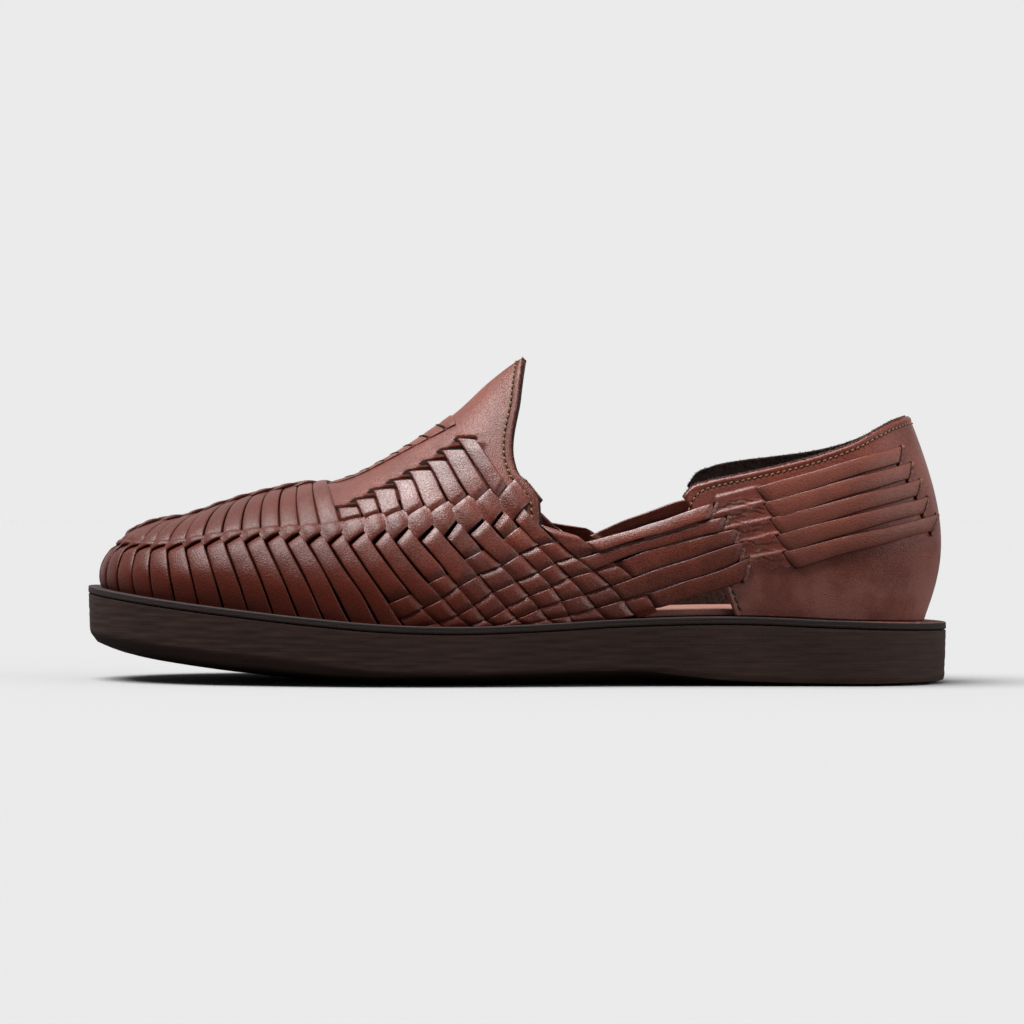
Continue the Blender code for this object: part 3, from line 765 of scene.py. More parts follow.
# Closed straps: a flat rounded section carried along the skin. placeOf(k, v, w) gives u and rise of
# strap k at length share v and width share w. Each end sinks by dive (1 - smooth(distance /
# reach)), each strap is rolled and lifted a little by chance.
def strapSolids(placeOf, count, steps=20, **changes):
    look = {**strap, **changes}
    first, rear, centre, front, final = (strapPoints(placeOf, count, v, .5)
                                         for v in (0, .45, .5, .55, 1))
    forward = unit(front - rear)
    across = strapPoints(placeOf, count, .5, 1) - strapPoints(placeOf, count, .5, 0)
    width = np.linalg.norm(across - (across * forward).sum(1, keepdims=True) * forward, axis=1)
    length = np.linalg.norm(final - centre, axis=1) + np.linalg.norm(centre - first, axis=1)
    width, length = width[:, None, None], length[:, None, None]
    x, half = sectionAcross(width, look["gap"])
    # rows close up near the ends, where the strap bends down
    t = np.linspace(0, 1, steps)[None, :, None]
    t = mixed(t, (1 - np.cos(np.pi * t)) / 2, .55)
    tuck, over = (look.get(end, look["tuck"]) for end in ("tuckStart", "tuckEnd"))
    run = t * (length + tuck + over) - tuck
    dives = [np.reshape(look.get(end, look["dive"]), (-1, 1, 1))
             for end in ("diveStart", "diveEnd")]
    reach = np.minimum(np.reshape(look["reach"], (-1, 1, 1)), .45 * length)
    drop = (dives[0] * (1 - smooth((run + tuck) / (reach + max(tuck, 0))))
            + dives[1] * (1 - smooth((length + over - run) / (reach + max(over, 0)))))
    seed = rng.random((count, 1, 1))
    roll = look["roll"] + rng.normal(0, .07, (count, 1, 1))
    lift = rng.normal(0, look["jitter"], (count, 1, 1)) + look["lift"]
    wave = rng.random((count, 1, 1)) * 6.3
    wander = look["shift"] * np.sin(run / 4.1 + wave) * smooth(length / 12)
    waves = .05 * np.sin(run / 2.7 + 2 * wave) + .04 * np.sin(run / 1.3 + 5 * wave)
    out = (look["base"] + lift - drop + sectionShare * look["thickness"]
           + sectionCrown * look["crown"] + roll * x / width + waves * (sectionShare > .3))
    out, w, v = np.broadcast_arrays(out, .5 + (x + wander) / width, run / length)
    points = skin(*placeOf(np.arange(count)[:, None, None], v, w), out)
    mark = np.stack(np.broadcast_arrays(run, x / half, seed), -1).reshape(-1, 3)
    return *closedTubes(points), mark


# Place of a chart line and rise on one side of the shoe.
def onChart(a, rise, side):
    u = chartU(a, rise)
    return side * u, sideRise(u, rise, side)


# Straps between lines first..final and the next ones, from a low rise to a high one; both rises run
# evenly from the front line to the rear line.
def crossStraps(first, final, lowFront, lowRear, highFront, highRear, side, **changes):
    index = np.arange(first, final + 1)
    columns = [np.broadcast_to(np.asarray(c, float), index.shape).copy()
               for c in (lowFront, lowRear, highFront, highRear)]

    def placeOf(k, v, w):
        low = mixed(columns[0][k], columns[1][k], w)
        rise = mixed(low, mixed(columns[2][k], columns[3][k], w), v)
        return onChart(index[k] + w, rise, side)

    return strapSolids(placeOf, len(index), **changes)


# Straps of one side of the vamp, but for the long ones.
def buildVamp(side):
    # upper floats, from the slits in the tongue down to the plait
    shapes = [crossStraps(3, 10, floats["tipFront"], floats["tipRear"], floats["slitFront"],
                          floats["slitRear"], side, diveEnd=1.0, tuckEnd=-.9, reach=1.5, steps=24,
                          roll=.25, gap=.24)]
    # plait: one tile over each cross strap
    index = np.arange(-12, 11)
    longer = np.where(index == 10, 1.42, 1.0)
    ends = {}
    for place, toe in (("Front", 0), ("Rear", 1)):
        for key, held in (("tip", floats["toeTip"][toe]), ("low", floats["toeLow"][toe])):
            ends[key + place] = np.concatenate([np.full(15, held), floats[key + place]])
        # the last toe straps lead over to the first waist strap
        ends["low" + place][12:15] = mixed(held, floats["low" + place][0], np.array([.1, .4, .7]))

    def plaitPlace(k, v, w):
        low = mixed(ends["lowFront"][k], ends["lowRear"][k], v)
        high = mixed(ends["tipFront"][k], ends["tipRear"][k], v)
        return onChart(index[k] + v * longer[k], mixed(low, high, w), side)

    shapes.append(strapSolids(plaitPlace, len(index), steps=18, tuck=1.0, diveStart=.75,
                              diveEnd=np.where(index == 10, 1.3, .75), lift=.12, crown=.34,
                              reach=np.where(index == 10, 7.0, 3.0), roll=0.0))
    # lower floats round the toe and down to the sole
    shapes.append(crossStraps(-12, 2, -1.5, -1.5, ends["lowFront"][:15] - 1.4,
                              ends["lowRear"][:15] - .5, side, diveStart=.25, diveEnd=.6,
                              tuckEnd=-.25, steps=26, gap=.26))
    # lower floats at the waist, down to the first row that crosses them
    line = np.arange(3, 11)
    lowF, lowR = (np.where(line % 2 == 1, through(rows, 1, edge), through(rows, 2, edge))
                  for edge in (line, line + 1))
    shapes.append(crossStraps(3, 10, lowF, lowR,
                              np.array(floats["lowFront"]) - mixed(1.3, .3, np.arange(8) / 7),
                              np.array(floats["lowRear"]) - .5, side, diveEnd=.6, tuckEnd=-.2,
                              steps=22, gap=.26))
    return shapes + basketTiles(side)


# Plain weave at the waist: over strap a and row j the row is on top where a + j is even.
def basketTiles(side):
    cells = [(a, j) for a in range(3, 12) for j in range(1, 7)
             if j >= (1 if a % 2 else 2) and through(rows, j, np.array([a, a + 1])).max() > 1.2
             and not (a == 11 and j < 2)]
    table = np.array([rows[r] for r in range(1, 8)])

    def tiles(some, crossing):
        a, j = np.array(some).T
        topF, topR, lowF, lowR = (table[row, line] for row in (j - 1, j) for line in (a - 3, a - 2))
        final = (a == 11) & (j == 2)
        topF, topR = (np.where(final, corner, top)
                      for corner, top in zip(rows["lastTile"], (topF, topR)))

        def placeOf(k, v, w):
            along, up = (w, v) if crossing else (v, w)
            rise = mixed(mixed(lowF[k], lowR[k], along), mixed(topF[k], topR[k], along), up)
            return onChart(a[k] + along, np.maximum(rise, -1.5), side)
        return strapSolids(placeOf, len(a), steps=14, crown=.20, roll=.05, reach=2.2, dive=1.25)

    return [tiles([(a, j) for a, j in cells if (a + j) % 2], True),
            tiles([(a, j) for a, j in cells if (a + j) % 2 == 0 and a < 11], False)]


# Long straps from the weave back to the counter; two start one cross strap farther forward.
def longStrapPlace(side):
    line, middle, lower, upper = (
        np.array(longEnds[name]) for name in ("startLine", "startRise", "lower", "upper"))

    def placeOf(k, v, w):
        startRise = middle[k] + (w - .5) * longEnds["startTall"]
        start = fromHeelAt(chartU(line[k] + 0.0 * w, startRise))
        fromHeel = mixed(start, mixed(lower[k], upper[k], w), v)
        edges = longStrapEdges(fromHeel)
        low, high = (np.choose(k + n + 0 * fromHeel.astype(int), edges) for n in (1, 0))
        u = uAt(fromHeel)
        return side * u, sideRise(u, mixed(low, high, w), side)

    return placeOf


# Rises of the six edges between and beside the long straps.
def longStrapEdges(fromHeel):
    knots = longStraps["fromHeel"]
    held = np.clip(fromHeel, knots[0], knots[-1])
    return [through(longStraps, e, held) for e in range(6)]


# Long straps of one side; their ends go under the weave and the counter's band.
def longStrapShape(side):
    roll = np.array(longEnds["roll"])[:, None, None]
    return strapSolids(longStrapPlace(side), 5, steps=44, reach=1.8, diveEnd=1.0, tuckEnd=.4,
                       shift=.14, gap=.12, roll=roll)


# A piece of straps, marked with the run along, the place across and a chance for each strap.
def strapPiece(name, shapes, replaced=()):
    marks = {"strapPlace": np.concatenate([s[2] for s in shapes])}
    makePiece(name, [s[:2] for s in shapes], strapLeather, replaced, marks)


for side in sideNames:
    strapPiece(f"vamp_straps_{sideNames[side]}", buildVamp(side), ["upper"] if side < 0 else [])
    strapPiece(f"long_straps_{sideNames[side]}", [longStrapShape(side)])
print("vamp woven")


# Points and normals of the skin on a fine grid of u and rise.
def skinSamples():
    u, rise = np.meshgrid(np.linspace(-1, 1, 481)[:-1], np.linspace(0, 90, 121), indexing="ij")
    points = skin(u, rise).reshape(-1, 3)
    normals = skin(u, rise, 1.0).reshape(-1, 3) - points
    lengths = np.linalg.norm(normals, axis=1, keepdims=True)
    return points, normals / np.maximum(lengths, 1e-6)


samplePoints, sampleNormals = skinSamples()


# Slides each point along the normal of its nearest skin sample onto that sample's plane.
def drape(points):
    flat = points.reshape(-1, 3)
    square = (samplePoints ** 2).sum(1)
    nearest = np.concatenate([np.argmin(square[None] - 2 * part @ samplePoints.T, axis=1)
                              for part in np.array_split(flat, len(flat) // 400 + 1)])
    normal = sampleNormals[nearest]
    away = ((flat - samplePoints[nearest]) * normal).sum(1, keepdims=True)
    return (flat - away * normal).reshape(points.shape), normal.reshape(points.shape)


# Points along a path at even distances.
def evenly(path, step=None, count=None):
    gone = np.concatenate([[0], np.cumsum(np.linalg.norm(np.diff(path, axis=0), axis=1))])
    count = count or int(round(gone[-1] / step)) + 1
    at = np.linspace(0, gone[-1], count)
    return np.stack([np.interp(at, gone, path[:, c]) for c in range(3)], -1)


# Direction across a path that lies on the skin.
def aside(path, normal):
    return unit(np.cross(normal, np.gradient(path, axis=0)))


# Averages each row with its neighbours along a path, ends held.
def softened(values, passes):
    for _ in range(passes):
        inner = (values[..., :-2, :] + 2 * values[..., 1:-1, :] + values[..., 2:, :]) / 4
        values = np.concatenate([values[..., :1, :], inner, values[..., -1:, :]], -2)
    return values


# The same flat rounded section carried along draped paths: path and normal are (strap, row, xyz),
# width and out (strap, row).
def ribbonSolids(path, normal, width, out, thickness=1.3, crown=.28, bare=.15):
    across = unit(np.cross(normal, unit(np.gradient(path, axis=1))))
    x, half = sectionAcross(width[..., None], bare)
    high = out[..., None] + sectionShare * thickness + sectionCrown * crown
    points = (path[:, :, None] + across[:, :, None] * x[..., None]
              + normal[:, :, None] * high[..., None])
    run = np.linalg.norm(np.diff(path, axis=1, prepend=path[:, :1]), axis=2).cumsum(1)[..., None]
    mark = np.stack(np.broadcast_arrays(run, x / half, rng.random((len(path), 1, 1))), -1)
    return *closedTubes(points), mark.reshape(-1, 3)


toeBraid = {
    "from": 214.0,          # distance from the heel where it comes out of the tongue's end
    "noseRise": 37.0,       # where it dives under the plait at the front
    "width": 6.6, "swing": 4.6, "period": 25.0, "weave": .75, "base": .9,
    "frontTaper": 26.0, "half": 3.4, "endDips": (1.7, 2.4),
}


# Sum of the distances from point to point.
def pathLength(path):
    return np.linalg.norm(np.diff(path, axis=-2), axis=-1).sum(-1)


# Along the crest to the end of the spine, then down the front.
def crestPath():
    back = uAt(np.linspace(toeBraid["from"], last["length"] - last["toeLedge"] - .01, 60))
    down = np.linspace(90, toeBraid["noseRise"], 60)[1:]
    path = np.concatenate([skin(back, 90 + 0 * back), skin(1 + 0 * down, down)])
    return evenly(path, count=240)


# Flat braid of three: y = swing sin(p), height = weave sin(2p), p a third of a turn apart.
def braidShape():
    centre = crestPath()
    _, normal = drape(centre)
    normal = unit(softened(normal, 12))
    centre = softened(centre, 12)
    gone = np.linspace(0, pathLength(centre), len(centre))
    turn = 2 * np.pi * (gone[None] / toeBraid["period"] + np.arange(3)[:, None] / 3)
    taper = toeBraid["frontTaper"]
    taper = mixed(1.0, .55, smooth((gone - gone[-1] + taper) / taper))
    swing = toeBraid["swing"] * taper * np.sin(turn)
    path, spread = drape(centre[None] + aside(centre, normal)[None] * swing[..., None])
    path, spread = softened(path, 6), unit(softened(spread, 10))
    rear, front = toeBraid["endDips"]
    ends = rear * (1 - smooth(gone / 5)) + front * (1 - smooth((gone[-1] - gone) / 6))
    out = toeBraid["base"] + toeBraid["weave"] * np.sin(2 * turn) - ends
    width = toeBraid["width"] * mixed(1.0, .8, 1 - taper) * np.ones_like(turn)
    return ribbonSolids(path, spread, width, out)


# Upper floats of the toe: from under the plait, straight on the skin to the braid's edge.
def toeFloats(side):
    index = np.arange(-12, 3)
    tip = floats["toeTip"][1]
    low, lower = (skin(side * chartU(index + .5, r + 0.0 * index), r)
                  for r in (tip - 2.5, tip - 6.0))
    line = crestPath()
    _, normal = drape(line)
    sideways = unit(softened(np.cross(normal, np.gradient(line, axis=0)), 10))
    # tops stand evenly along the braid, the rearmost ones at its start
    at = np.interp(index, [-12.5, -11, 2], [.93, .84, .015]) * (len(line) - 1)
    inward = toeBraid["half"] * mixed(1.0, .35, smooth((at / len(line) - .55) / .4))
    at = at.astype(int)
    edge = line[at] + side * sideways[at] * inward[:, None]
    t = np.linspace(-.02, 1, 20)[None, :, None]
    bend = (low - lower)[:, None] * (t * (1 - t) ** 2) * 2.2
    path, normal = drape(drape(mixed(low[:, None], edge[:, None], t) + bend)[0])
    path, normal = softened(path, 4), unit(softened(normal, 6))
    length = pathLength(path)[:, None]
    foot, gap = (np.linalg.norm(np.diff(line, axis=0), axis=1) for line in (low, edge))
    foot, gap = (np.append(part, part[-1])[:, None] for part in (foot * .99, gap))
    share = np.linspace(0, 1, 20)[None]
    width = mixed(foot, np.minimum(np.maximum(gap, 4.6), foot), share)
    run = share * length
    out = (.4 - 1.0 * (1 - smooth(run / 3)) - .9 * (1 - smooth((length - run) / 4))
           + .10 * (np.arange(len(index)) % 2)[:, None] + rng.normal(0, .05, (len(index), 1)))
    return ribbonSolids(path, normal, width, out)


strapPiece("toe_straps", [toeFloats(-1), toeFloats(1), braidShape()])


backing = {
    "outer": -.75, "middle": -1.1, "inner": -1.7,   # depths under the skin
    "cover": .83, "throatCover": .93, "throatRun": 30.0,    # share of the wall's height
    "throat": {-1: 101.0, 1: 68.0}, "tongueFront": 222.0, "closing": 8.0, "rows": 30,
}


# Thin wall under the straps: rise runs from the foot line to a share of the wall's top, and to the
# crest in front of the tongue.
def backingShell(side, outer, inner):
    rear, front, closing = backing["throat"][side], backing["tongueFront"], backing["closing"]
    fromHeel = np.concatenate([
        np.linspace(rear, front, 60), np.linspace(front + 1, front + closing, 10),
        fromHeelAt(np.linspace(uAt(front + closing + 1), 1, 30))])[:, None]
    share = np.linspace(0, 1, backing["rows"])[None]
    beyond = smooth((fromHeel - front) / closing)
    wall = wallTopRise(np.minimum(fromHeel, wallTop["fromHeel"][-1]), side)
    top = mixed(backing["cover"] * wall, 90.0, beyond)
    throat = smooth((fromHeel - rear) / backing["throatRun"])
    top = mixed(backing["throatCover"] * wallTopRise(fromHeel, side), top, throat)
    u = side * uAt(fromHeel + 0 * share)
    rise = top * share
    return closedWall(skin(u, rise, outer), skin(u, rise, inner))


# the outer shell is a near-black sheet of painted shade, seen in the gaps between the straps; the
# inner one is the brown lining
for name, outer, inner, material in (
        ("vamp_gap_shade", backing["outer"], backing["middle"], paintedShade),
        ("vamp_lining", backing["middle"] - .05, backing["inner"], brownLining)):
    shells = [backingShell(side, outer, inner) for side in sideNames]
    makePiece(name, shells, material)


soleStyle = {
    "columns": 260, "midsole": 2.4, "insole": 2.4, "bottomFlat": .45, "insoleIn": 2.6,
    "sideRings": (5, 30),       # of the outsole, numbered from the top's middle
    "topRings": 7,              # of a sheet
}


# Ring of a sole piece: reach 1 is the outline drawn in by the margin, reach 0 the middle line.
def soleLoop(margin, reach, height):
    u = -1 + np.arange(2 * soleStyle["columns"]) / soleStyle["columns"]
    foot, footY = footLine(u, (margin,) * 3 if np.isscalar(margin) else margin)
    top = spine(foot)[0]
    place = mixed(top, foot, reach)
    y = mixed(soleMiddle(top), footY, reach)
    return np.stack([last["length"] / 2 - place, y - middleY, height(place, foot)], -1)


# Rings from the top's middle line over the edge to the bottom's, the two middles left open as slits
# of no width and welded.
def soleSolid(rings):
    points = np.stack(rings)
    count, loop = points.shape[:2]
    quads = gridQuads(count, loop, around=True)
    flat = points.reshape(-1, 3)
    # both middle rings share their points between the two sides
    index = np.arange(count * loop).reshape(count, loop)
    mirror = (loop - np.arange(loop)) % loop
    for ring in (0, count - 1):
        index[ring] = np.minimum(index[ring], index[ring][mirror])
    quads = index.reshape(-1)[quads]
    used, packed = np.unique(quads, return_inverse=True)
    return flat[used], turnedOut(flat[used], [packed.reshape(-1, 4)]), used // loop


# The sole's top and a distance over it.
def topHeight(above):
    return lambda place, foot: soleRow("top", place) + above


# Underside: flat in the middle, then up to the edge's lift by the square of the way outward.
def bottomHeight(share):
    curl = max(0.0, (share - soleStyle["bottomFlat"]) / (1 - soleStyle["bottomFlat"])) ** 2
    return lambda place, foot: np.maximum(soleRow("under", place), 0) + soleRow("lift", foot) * curl


# Height on the side wall: share 0 is just above the bevel, 1 the top edge.
def sideHeight(share):
    def height(place, foot):
        low = np.maximum(soleRow("under", foot), 0) + soleRow("lift", foot) + soleRow("bevel", foot)
        return mixed(low, soleRow("top", foot) - soleStyle["midsole"] - last["air"], share)
    return height


# Rings over the top, the sanded side, the bevel and the bottom.
def outsoleShape():
    top = topHeight(-soleStyle["midsole"] - last["air"])
    rings = [soleLoop(0, r, top) for r in (0, .4, .8, .96)]
    rings += [soleLoop(.45, 1, top), soleLoop(.12, 1, sideHeight(.992))]
    rings += [soleLoop(.05 + .5 * (1 - share) ** 1.5, 1, sideHeight(share))
              for share in np.linspace(.965, .06, 22)]
    rings += [soleLoop(.62, 1, sideHeight(.02)), soleLoop(.85, 1, sideHeight(-.03))]
    bevelled = (2.8, 2.2, 3.0)
    deep = [soleLoop(bevelled, 1, bottomHeight(1))]
    rings += [mixed(rings[-1], deep[0], f) for f in (.35, .75)]
    rings += deep
    rings += [soleLoop(bevelled, r, bottomHeight(r)) for r in (.94, .85, .75, .6, .45, .2, 0)]
    points, faces, ring = soleSolid(rings)
    # hand sanding leaves the side a little uneven
    x, y, z = points.T
    uneven = (.07 * np.sin(x / 5.3 + z / 3.1) + .05 * np.sin(x / 2.1 - z / 1.7 + 1)
              + .05 * np.sin(z * 2.3))
    upper, lower = soleStyle["sideRings"]
    onSide = smooth((ring - upper) / 2) * smooth((lower - ring) / 2)
    outward = unit(np.stack([x * .35, y, 0 * z], -1))
    return points - np.abs(uneven * onSide)[:, None] * outward, faces


# Leather sheet of the sole's outline, rounded at its upper edge and slightly hollow at its side.
def sheetShape(margins, lower, upper, round=.5):
    def ring(extra, reach, above):
        return soleLoop(tuple(m + extra for m in margins), reach, topHeight(above))
    rings = [ring(round, r, upper) for r in (0, .35, .7, .9, .97)]
    rings += [ring(round, 1, upper), ring(round * .3, 1, upper - round * .25),
              ring(0, 1, upper - round * .7)]
    rings += [ring(.04 * np.sin(7.0 * s), 1, mixed(upper - round, lower + .2, s))
              for s in (.2, .5, .8)]
    rings += [ring(.05, 1, lower + .15)] + [ring(.3, r, lower) for r in (1, .7, .35, 0)]
    return soleSolid(rings)


# Bare pinkish hide on top, stained dark at the edge, with pale scuffs.
def midsoleLeather():
    material, surface, place = newMaterial("midsole_leather")
    layers = noise(stretched(place, (60.0, 60.0, 2500.0)), 1.0, 4.0, .6)
    specks = noise(place, 1100.0, 4.0, .7)
    scuffs = ramp(noise(place, 260.0, 5.0, .7), .60, .74)
    edge = tint((.0050, .0034, .0036), (.015, .0098, .0102), layers, .35, .7)
    edge = mixColour(pointMark(surface, "stain"), (.022, .0118, .0094), edge)
    top = tint((.085, .030, .024), (.17, .075, .058), specks, .35, .7)
    top = mixColour(times(scuffs, .7), top, (.62, .50, .45))
    colour = mixColour(pointMark(surface, "bare"), edge, top)
    finish(surface, colour, calculate("ADD", layers, specks), .0002, .7, .72, .25)
    return material


# Vegetable tanned hide: fine pores and darker rubbed places.
def insoleLeather():
    material, surface, place = newMaterial("insole_leather")
    pores = noise(place, 1500.0, 4.0, .7)
    rubbed = noise(place, 60.0, 4.0, .6)
    colour = tint((.175, .066, .047), (.25, .105, .077), rubbed, .35, .65)
    colour = tint(colour, (.36, .18, .14), pores, .45, .75, .5)
    finish(surface, colour, pores, .0002, .6, .72)
    return material


makePiece("outsole_rubber", [outsoleShape()], rubberDark, ["outsole"], sharp=50)
points, faces, ring = sheetShape((0, 0, 0), -soleStyle["midsole"], 0)
# the top is bare by the heel and stained farther forward
onTop = ring < soleStyle["topRings"]
bare = onTop * mixed(1.0, .12, smooth((fromHeelOf(points) - 14) / 26))
marks = {"bare": bare, "stain": 1 - smooth((ring - soleStyle["topRings"]) / 3)}
makePiece("midsole_leather_sheet", [(points, faces)], midsoleLeather(),
          ["midsole"], marks)
insoleShape = sheetShape([margin + soleStyle["insoleIn"] for margin in footMargins], last["air"],
                         last["air"] + soleStyle["insole"])
makePiece("insole_leather_sheet", [insoleShape[:2]], insoleLeather(), ["insole"])
print("sole ready")


# Sets small shapes down at spots on the skin: each offset is (along the path, across it, up).
def carried(spots, normal, offset):
    along = unit(np.gradient(spots, axis=0))
    axes = np.stack([along, unit(np.cross(normal, along)), normal], 1)
    return closedTubes(spots[:, None, None] + np.einsum("srpc,scd->srpd", offset, axes))


# Stitches along a draped path: each is a spindle sin(pi t)^0.4 thick whose ends dip into the
# leather by the arch sin(pi t).
def stitchRow(path, pitch, length=.78, radius=.24, sink=.06, slant=.12):
    spots = evenly(path, step=pitch)
    spots, normal = drape((spots[1:] + spots[:-1]) / 2)
    t = np.linspace(0, 1, 8)[None, :, None]
    turn = np.linspace(0, 2 * np.pi, 7)[:-1]
    girth = radius * np.sin(np.pi * np.clip(t, .03, .97)) ** .4
    jitter = rng.normal(0, .05, (len(spots), 1, 1))
    x = (t - .5) * pitch * length
    y = girth * np.cos(turn) * 1.15 + slant * (t - .5) * pitch + jitter
    z = girth * np.sin(turn) + .30 * np.sin(np.pi * t) - sink - .12
    return carried(spots, normal, np.stack(np.broadcast_arrays(x, y, z), -1))


# Painted shade in the awl holes between the stitches: flat dark buttons, a low dome on a disc.
def stitchHoleShades(path, pitch, size=.36):
    spots, normal = drape(evenly(path, step=pitch))
    turn = np.linspace(0, 2 * np.pi, 9)[:-1]
    dome = np.array([[r * size * np.cos(turn), r * size * 1.25 * np.sin(turn), 0 * turn + h]
                     for r, h in ((1.0, -.25), (1.0, .0), (.72, .06), (.3, .09))])
    dome = np.moveaxis(dome, 1, 2)
    return carried(spots, normal, np.broadcast_to(dome, (len(spots), *dome.shape)))


# Ochre stitches and painted shade in their awl holes along some paths.
def sewn(name, paths, pitch, girth, hole):
    stitches = [stitchRow(path, pitch, .66, girth) for path in paths]
    makePiece(f"{name}_stitches", stitches, ochreThread)
    # painted shade in the awl holes
    holes = [stitchHoleShades(path, pitch, hole) for path in paths]
    makePiece(f"{name}_stitch_hole_shade", holes, paintedShade)


# Leather, lining and marks over both sides of the shoe. Each side's part is a list of grids:
# leather's face and back, lining's face and back, the share of painted shade and dark edges and the
# share of pale edges and painted highlights.
def doubleWall(parts, join, backPale, step=1):
    outer, inner, lining, back, dark, pale = (join(*pair) for pair in zip(*parts))
    dark, pale = dark.reshape(-1), pale.reshape(-1)
    marks = {"painted_shade_and_dark_edge": np.concatenate([dark, .6 + 0 * dark]),
             "pale_edge_and_highlight": np.concatenate([pale, backPale * pale])}
    return (closedWall(outer, inner), closedWall(lining[::step, ::step], back[::step, ::step]),
            marks)


# Painted shade in the mouths of slits: lens shapes, width sin(pi t)^0.6, from one skin point to
# another.
def slitShades(starts, ends, width, out=-.04):
    t = np.linspace(0, 1, 12)[None, :, None]
    path, normal = drape(drape(mixed(starts[:, None], ends[:, None], t))[0])
    shape = np.sin(np.pi * np.clip(t[..., 0], .02, .98)) ** .6
    widths = width * shape * np.ones((len(starts), 1)) + .5
    return ribbonSolids(path, unit(softened(normal, 3)), widths, np.full(widths.shape, out),
                        thickness=.16, crown=.03, bare=0.0)[:2]


# Loose fibres on a cut edge: bent spindles that start at random in the edge's thickness and stand
# off it at random angles.
def fibres(path, away, normal, depth, count, length=.55, girth=.075):
    at = rng.random(count) * (len(path) - 1.001)
    i, f = at.astype(int), (at % 1)[:, None]
    spot, out, up = (mixed(p[i], p[i + 1], f) for p in (path, away, normal))
    along = unit(np.cross(out, up))
    size = length * rng.uniform(.35, 1.0, (count, 1)) ** 1.5
    lean = unit(out + along * rng.normal(0, .9, (count, 1)) + up * rng.normal(0, .45, (count, 1)))
    bend = unit(lean + along * rng.normal(0, .8, (count, 1)) + up * rng.normal(0, .6, (count, 1)))
    base = spot - up * depth * rng.random((count, 1)) - out * .15
    spine = np.stack([base, base + lean * size * .6, base + lean * size * .6 + bend * size * .5], 1)
    across = unit(np.cross(lean, up + .3 * along))
    other = np.cross(lean, across)
    turn = np.linspace(0, 2 * np.pi, 4)[:-1]
    ring = across[:, None] * np.cos(turn)[:, None] + other[:, None] * np.sin(turn)[:, None]
    thinning = girth * np.array([1.0, .8, .25])[:, None, None]
    return closedTubes(spine[:, :, None] + ring[:, None] * thinning)


tongue = {
    "front": 224.0, "tuck": .80, "columns": 150, "rows": 84,
    "leather": 1.15, "thickness": 1.8, "edgeStep": .6,      # lining shows past the cut edge
    "stitchIn": 3.0, "pitch": 2.45,
}
tongueEdge = {  # back edge on both flanks, from its lower corner (0) to the crest (1)
    "share": (0.00, 0.10, 0.17, 0.23, 0.28, 0.33, 0.60, 0.80, 1.00),
    "lateral": (135.5, 135.3, 136.2, 139.6, 143.0, 144.6, 143.8, 143.3, 143.2),
    "medial": (137.5, 139.6, 142.3, 146.0, 148.4, 149.4, 147.2, 144.8, 143.2),
}


# Front and rear ends of the slits that cross straps 3 to 10 leave the tongue by.
def slitEnds(side):
    a = np.array(floats["strap"], float)
    front, rear = np.array(floats["slitFront"]), np.array(floats["slitRear"])
    uFront, uRear = chartU(a - .40, front), chartU(a + .98, rear)
    return (skin(side * uFront, sideRise(uFront, front, side) + .9),
            skin(side * uRear, sideRise(uRear, rear, side) + .6))


# The tongue as a sheet: column runs to the back edge, share up to the crest.
def tonguePlace(side, column, share, step=0.0):
    edge = through(tongueEdge, sideNames[side], share) + step
    fromHeel = mixed(tongue["front"], edge, column)
    low = mixed(tongue["front"], through(tongueEdge, sideNames[side], 0 * share) + step, column)
    foot = tongue["tuck"] * wallTopRise(low, side)
    return side * uAt(fromHeel), mixed(foot, 90.0, share)


# The back edge moved in along the skin by the stitch margin.
def tongueStitchPath(side):
    share = np.linspace(.06, .985, 120)
    edge = evenly(skin(*tonguePlace(side, 1.0 + 0 * share, share)), count=120)
    edge, normal = drape(edge)
    inward = facing(aside(edge, normal), (-1, 0, 0))
    path, _ = drape(edge + unit(softened(inward, 20)) * tongue["stitchIn"])
    return softened(path, 4)


# Height over the skin and painted shade: a raised lip above each slit and a pit below it, as bells
# across the slit's line and a soft window along it; painted shade where a strap lies over the
# tongue.
def slitRelief(points, side):
    relief = np.zeros(points.shape[:-1])
    shade = 0 * relief
    for a, b in zip(*slitEnds(side)):
        size = np.linalg.norm(b - a)
        run = (b - a) / size
        _, normal = drape(((a + b) / 2)[None])
        up = facing(np.cross(normal, run), (0, 0, 1))[0]
        e, d = ((points - a) @ run) / size, (points - a) @ up
        depth = np.abs((points - a) @ normal[0])
        taper = smooth((e + .03) / .28) * smooth((1.08 - e) / .16)
        pit = smooth((.75 * taper + .15 - d) / .35) * smooth((d + 1.5 * taper + .1) / .5)
        relief += (depth < 6) * taper * (.45 * bell(d - 1.5, .7) - pit)
        under = smooth((e + .1) / .25) * smooth((1.6 - e) / .3) * smooth((-d - .6) / .8) * (d > -9)
        shade = np.maximum(shade, under * (depth < 9))
    return relief, shade


# Groove that a row of stitches draws into the leather, a bell across its path.
def stitchGroove(points, path, depth=.16, width=.65):
    away = np.full(points.shape[:-1], 9.0)
    for part in np.array_split(path, 12):
        gap = np.linalg.norm(points[..., None, :] - part, axis=-1).min(-1)
        away = np.minimum(away, gap)
    return -depth * bell(away, width), away


# Soft dents of wear: place from the heel, rise, their half lengths, depth in mm.
tongueDents = (
    (176, 66, 9, 5, .35), (158, 78, 7, 6, .25), (196, 74, 12, 5, .28), (150, 62, 4, 8, .25))
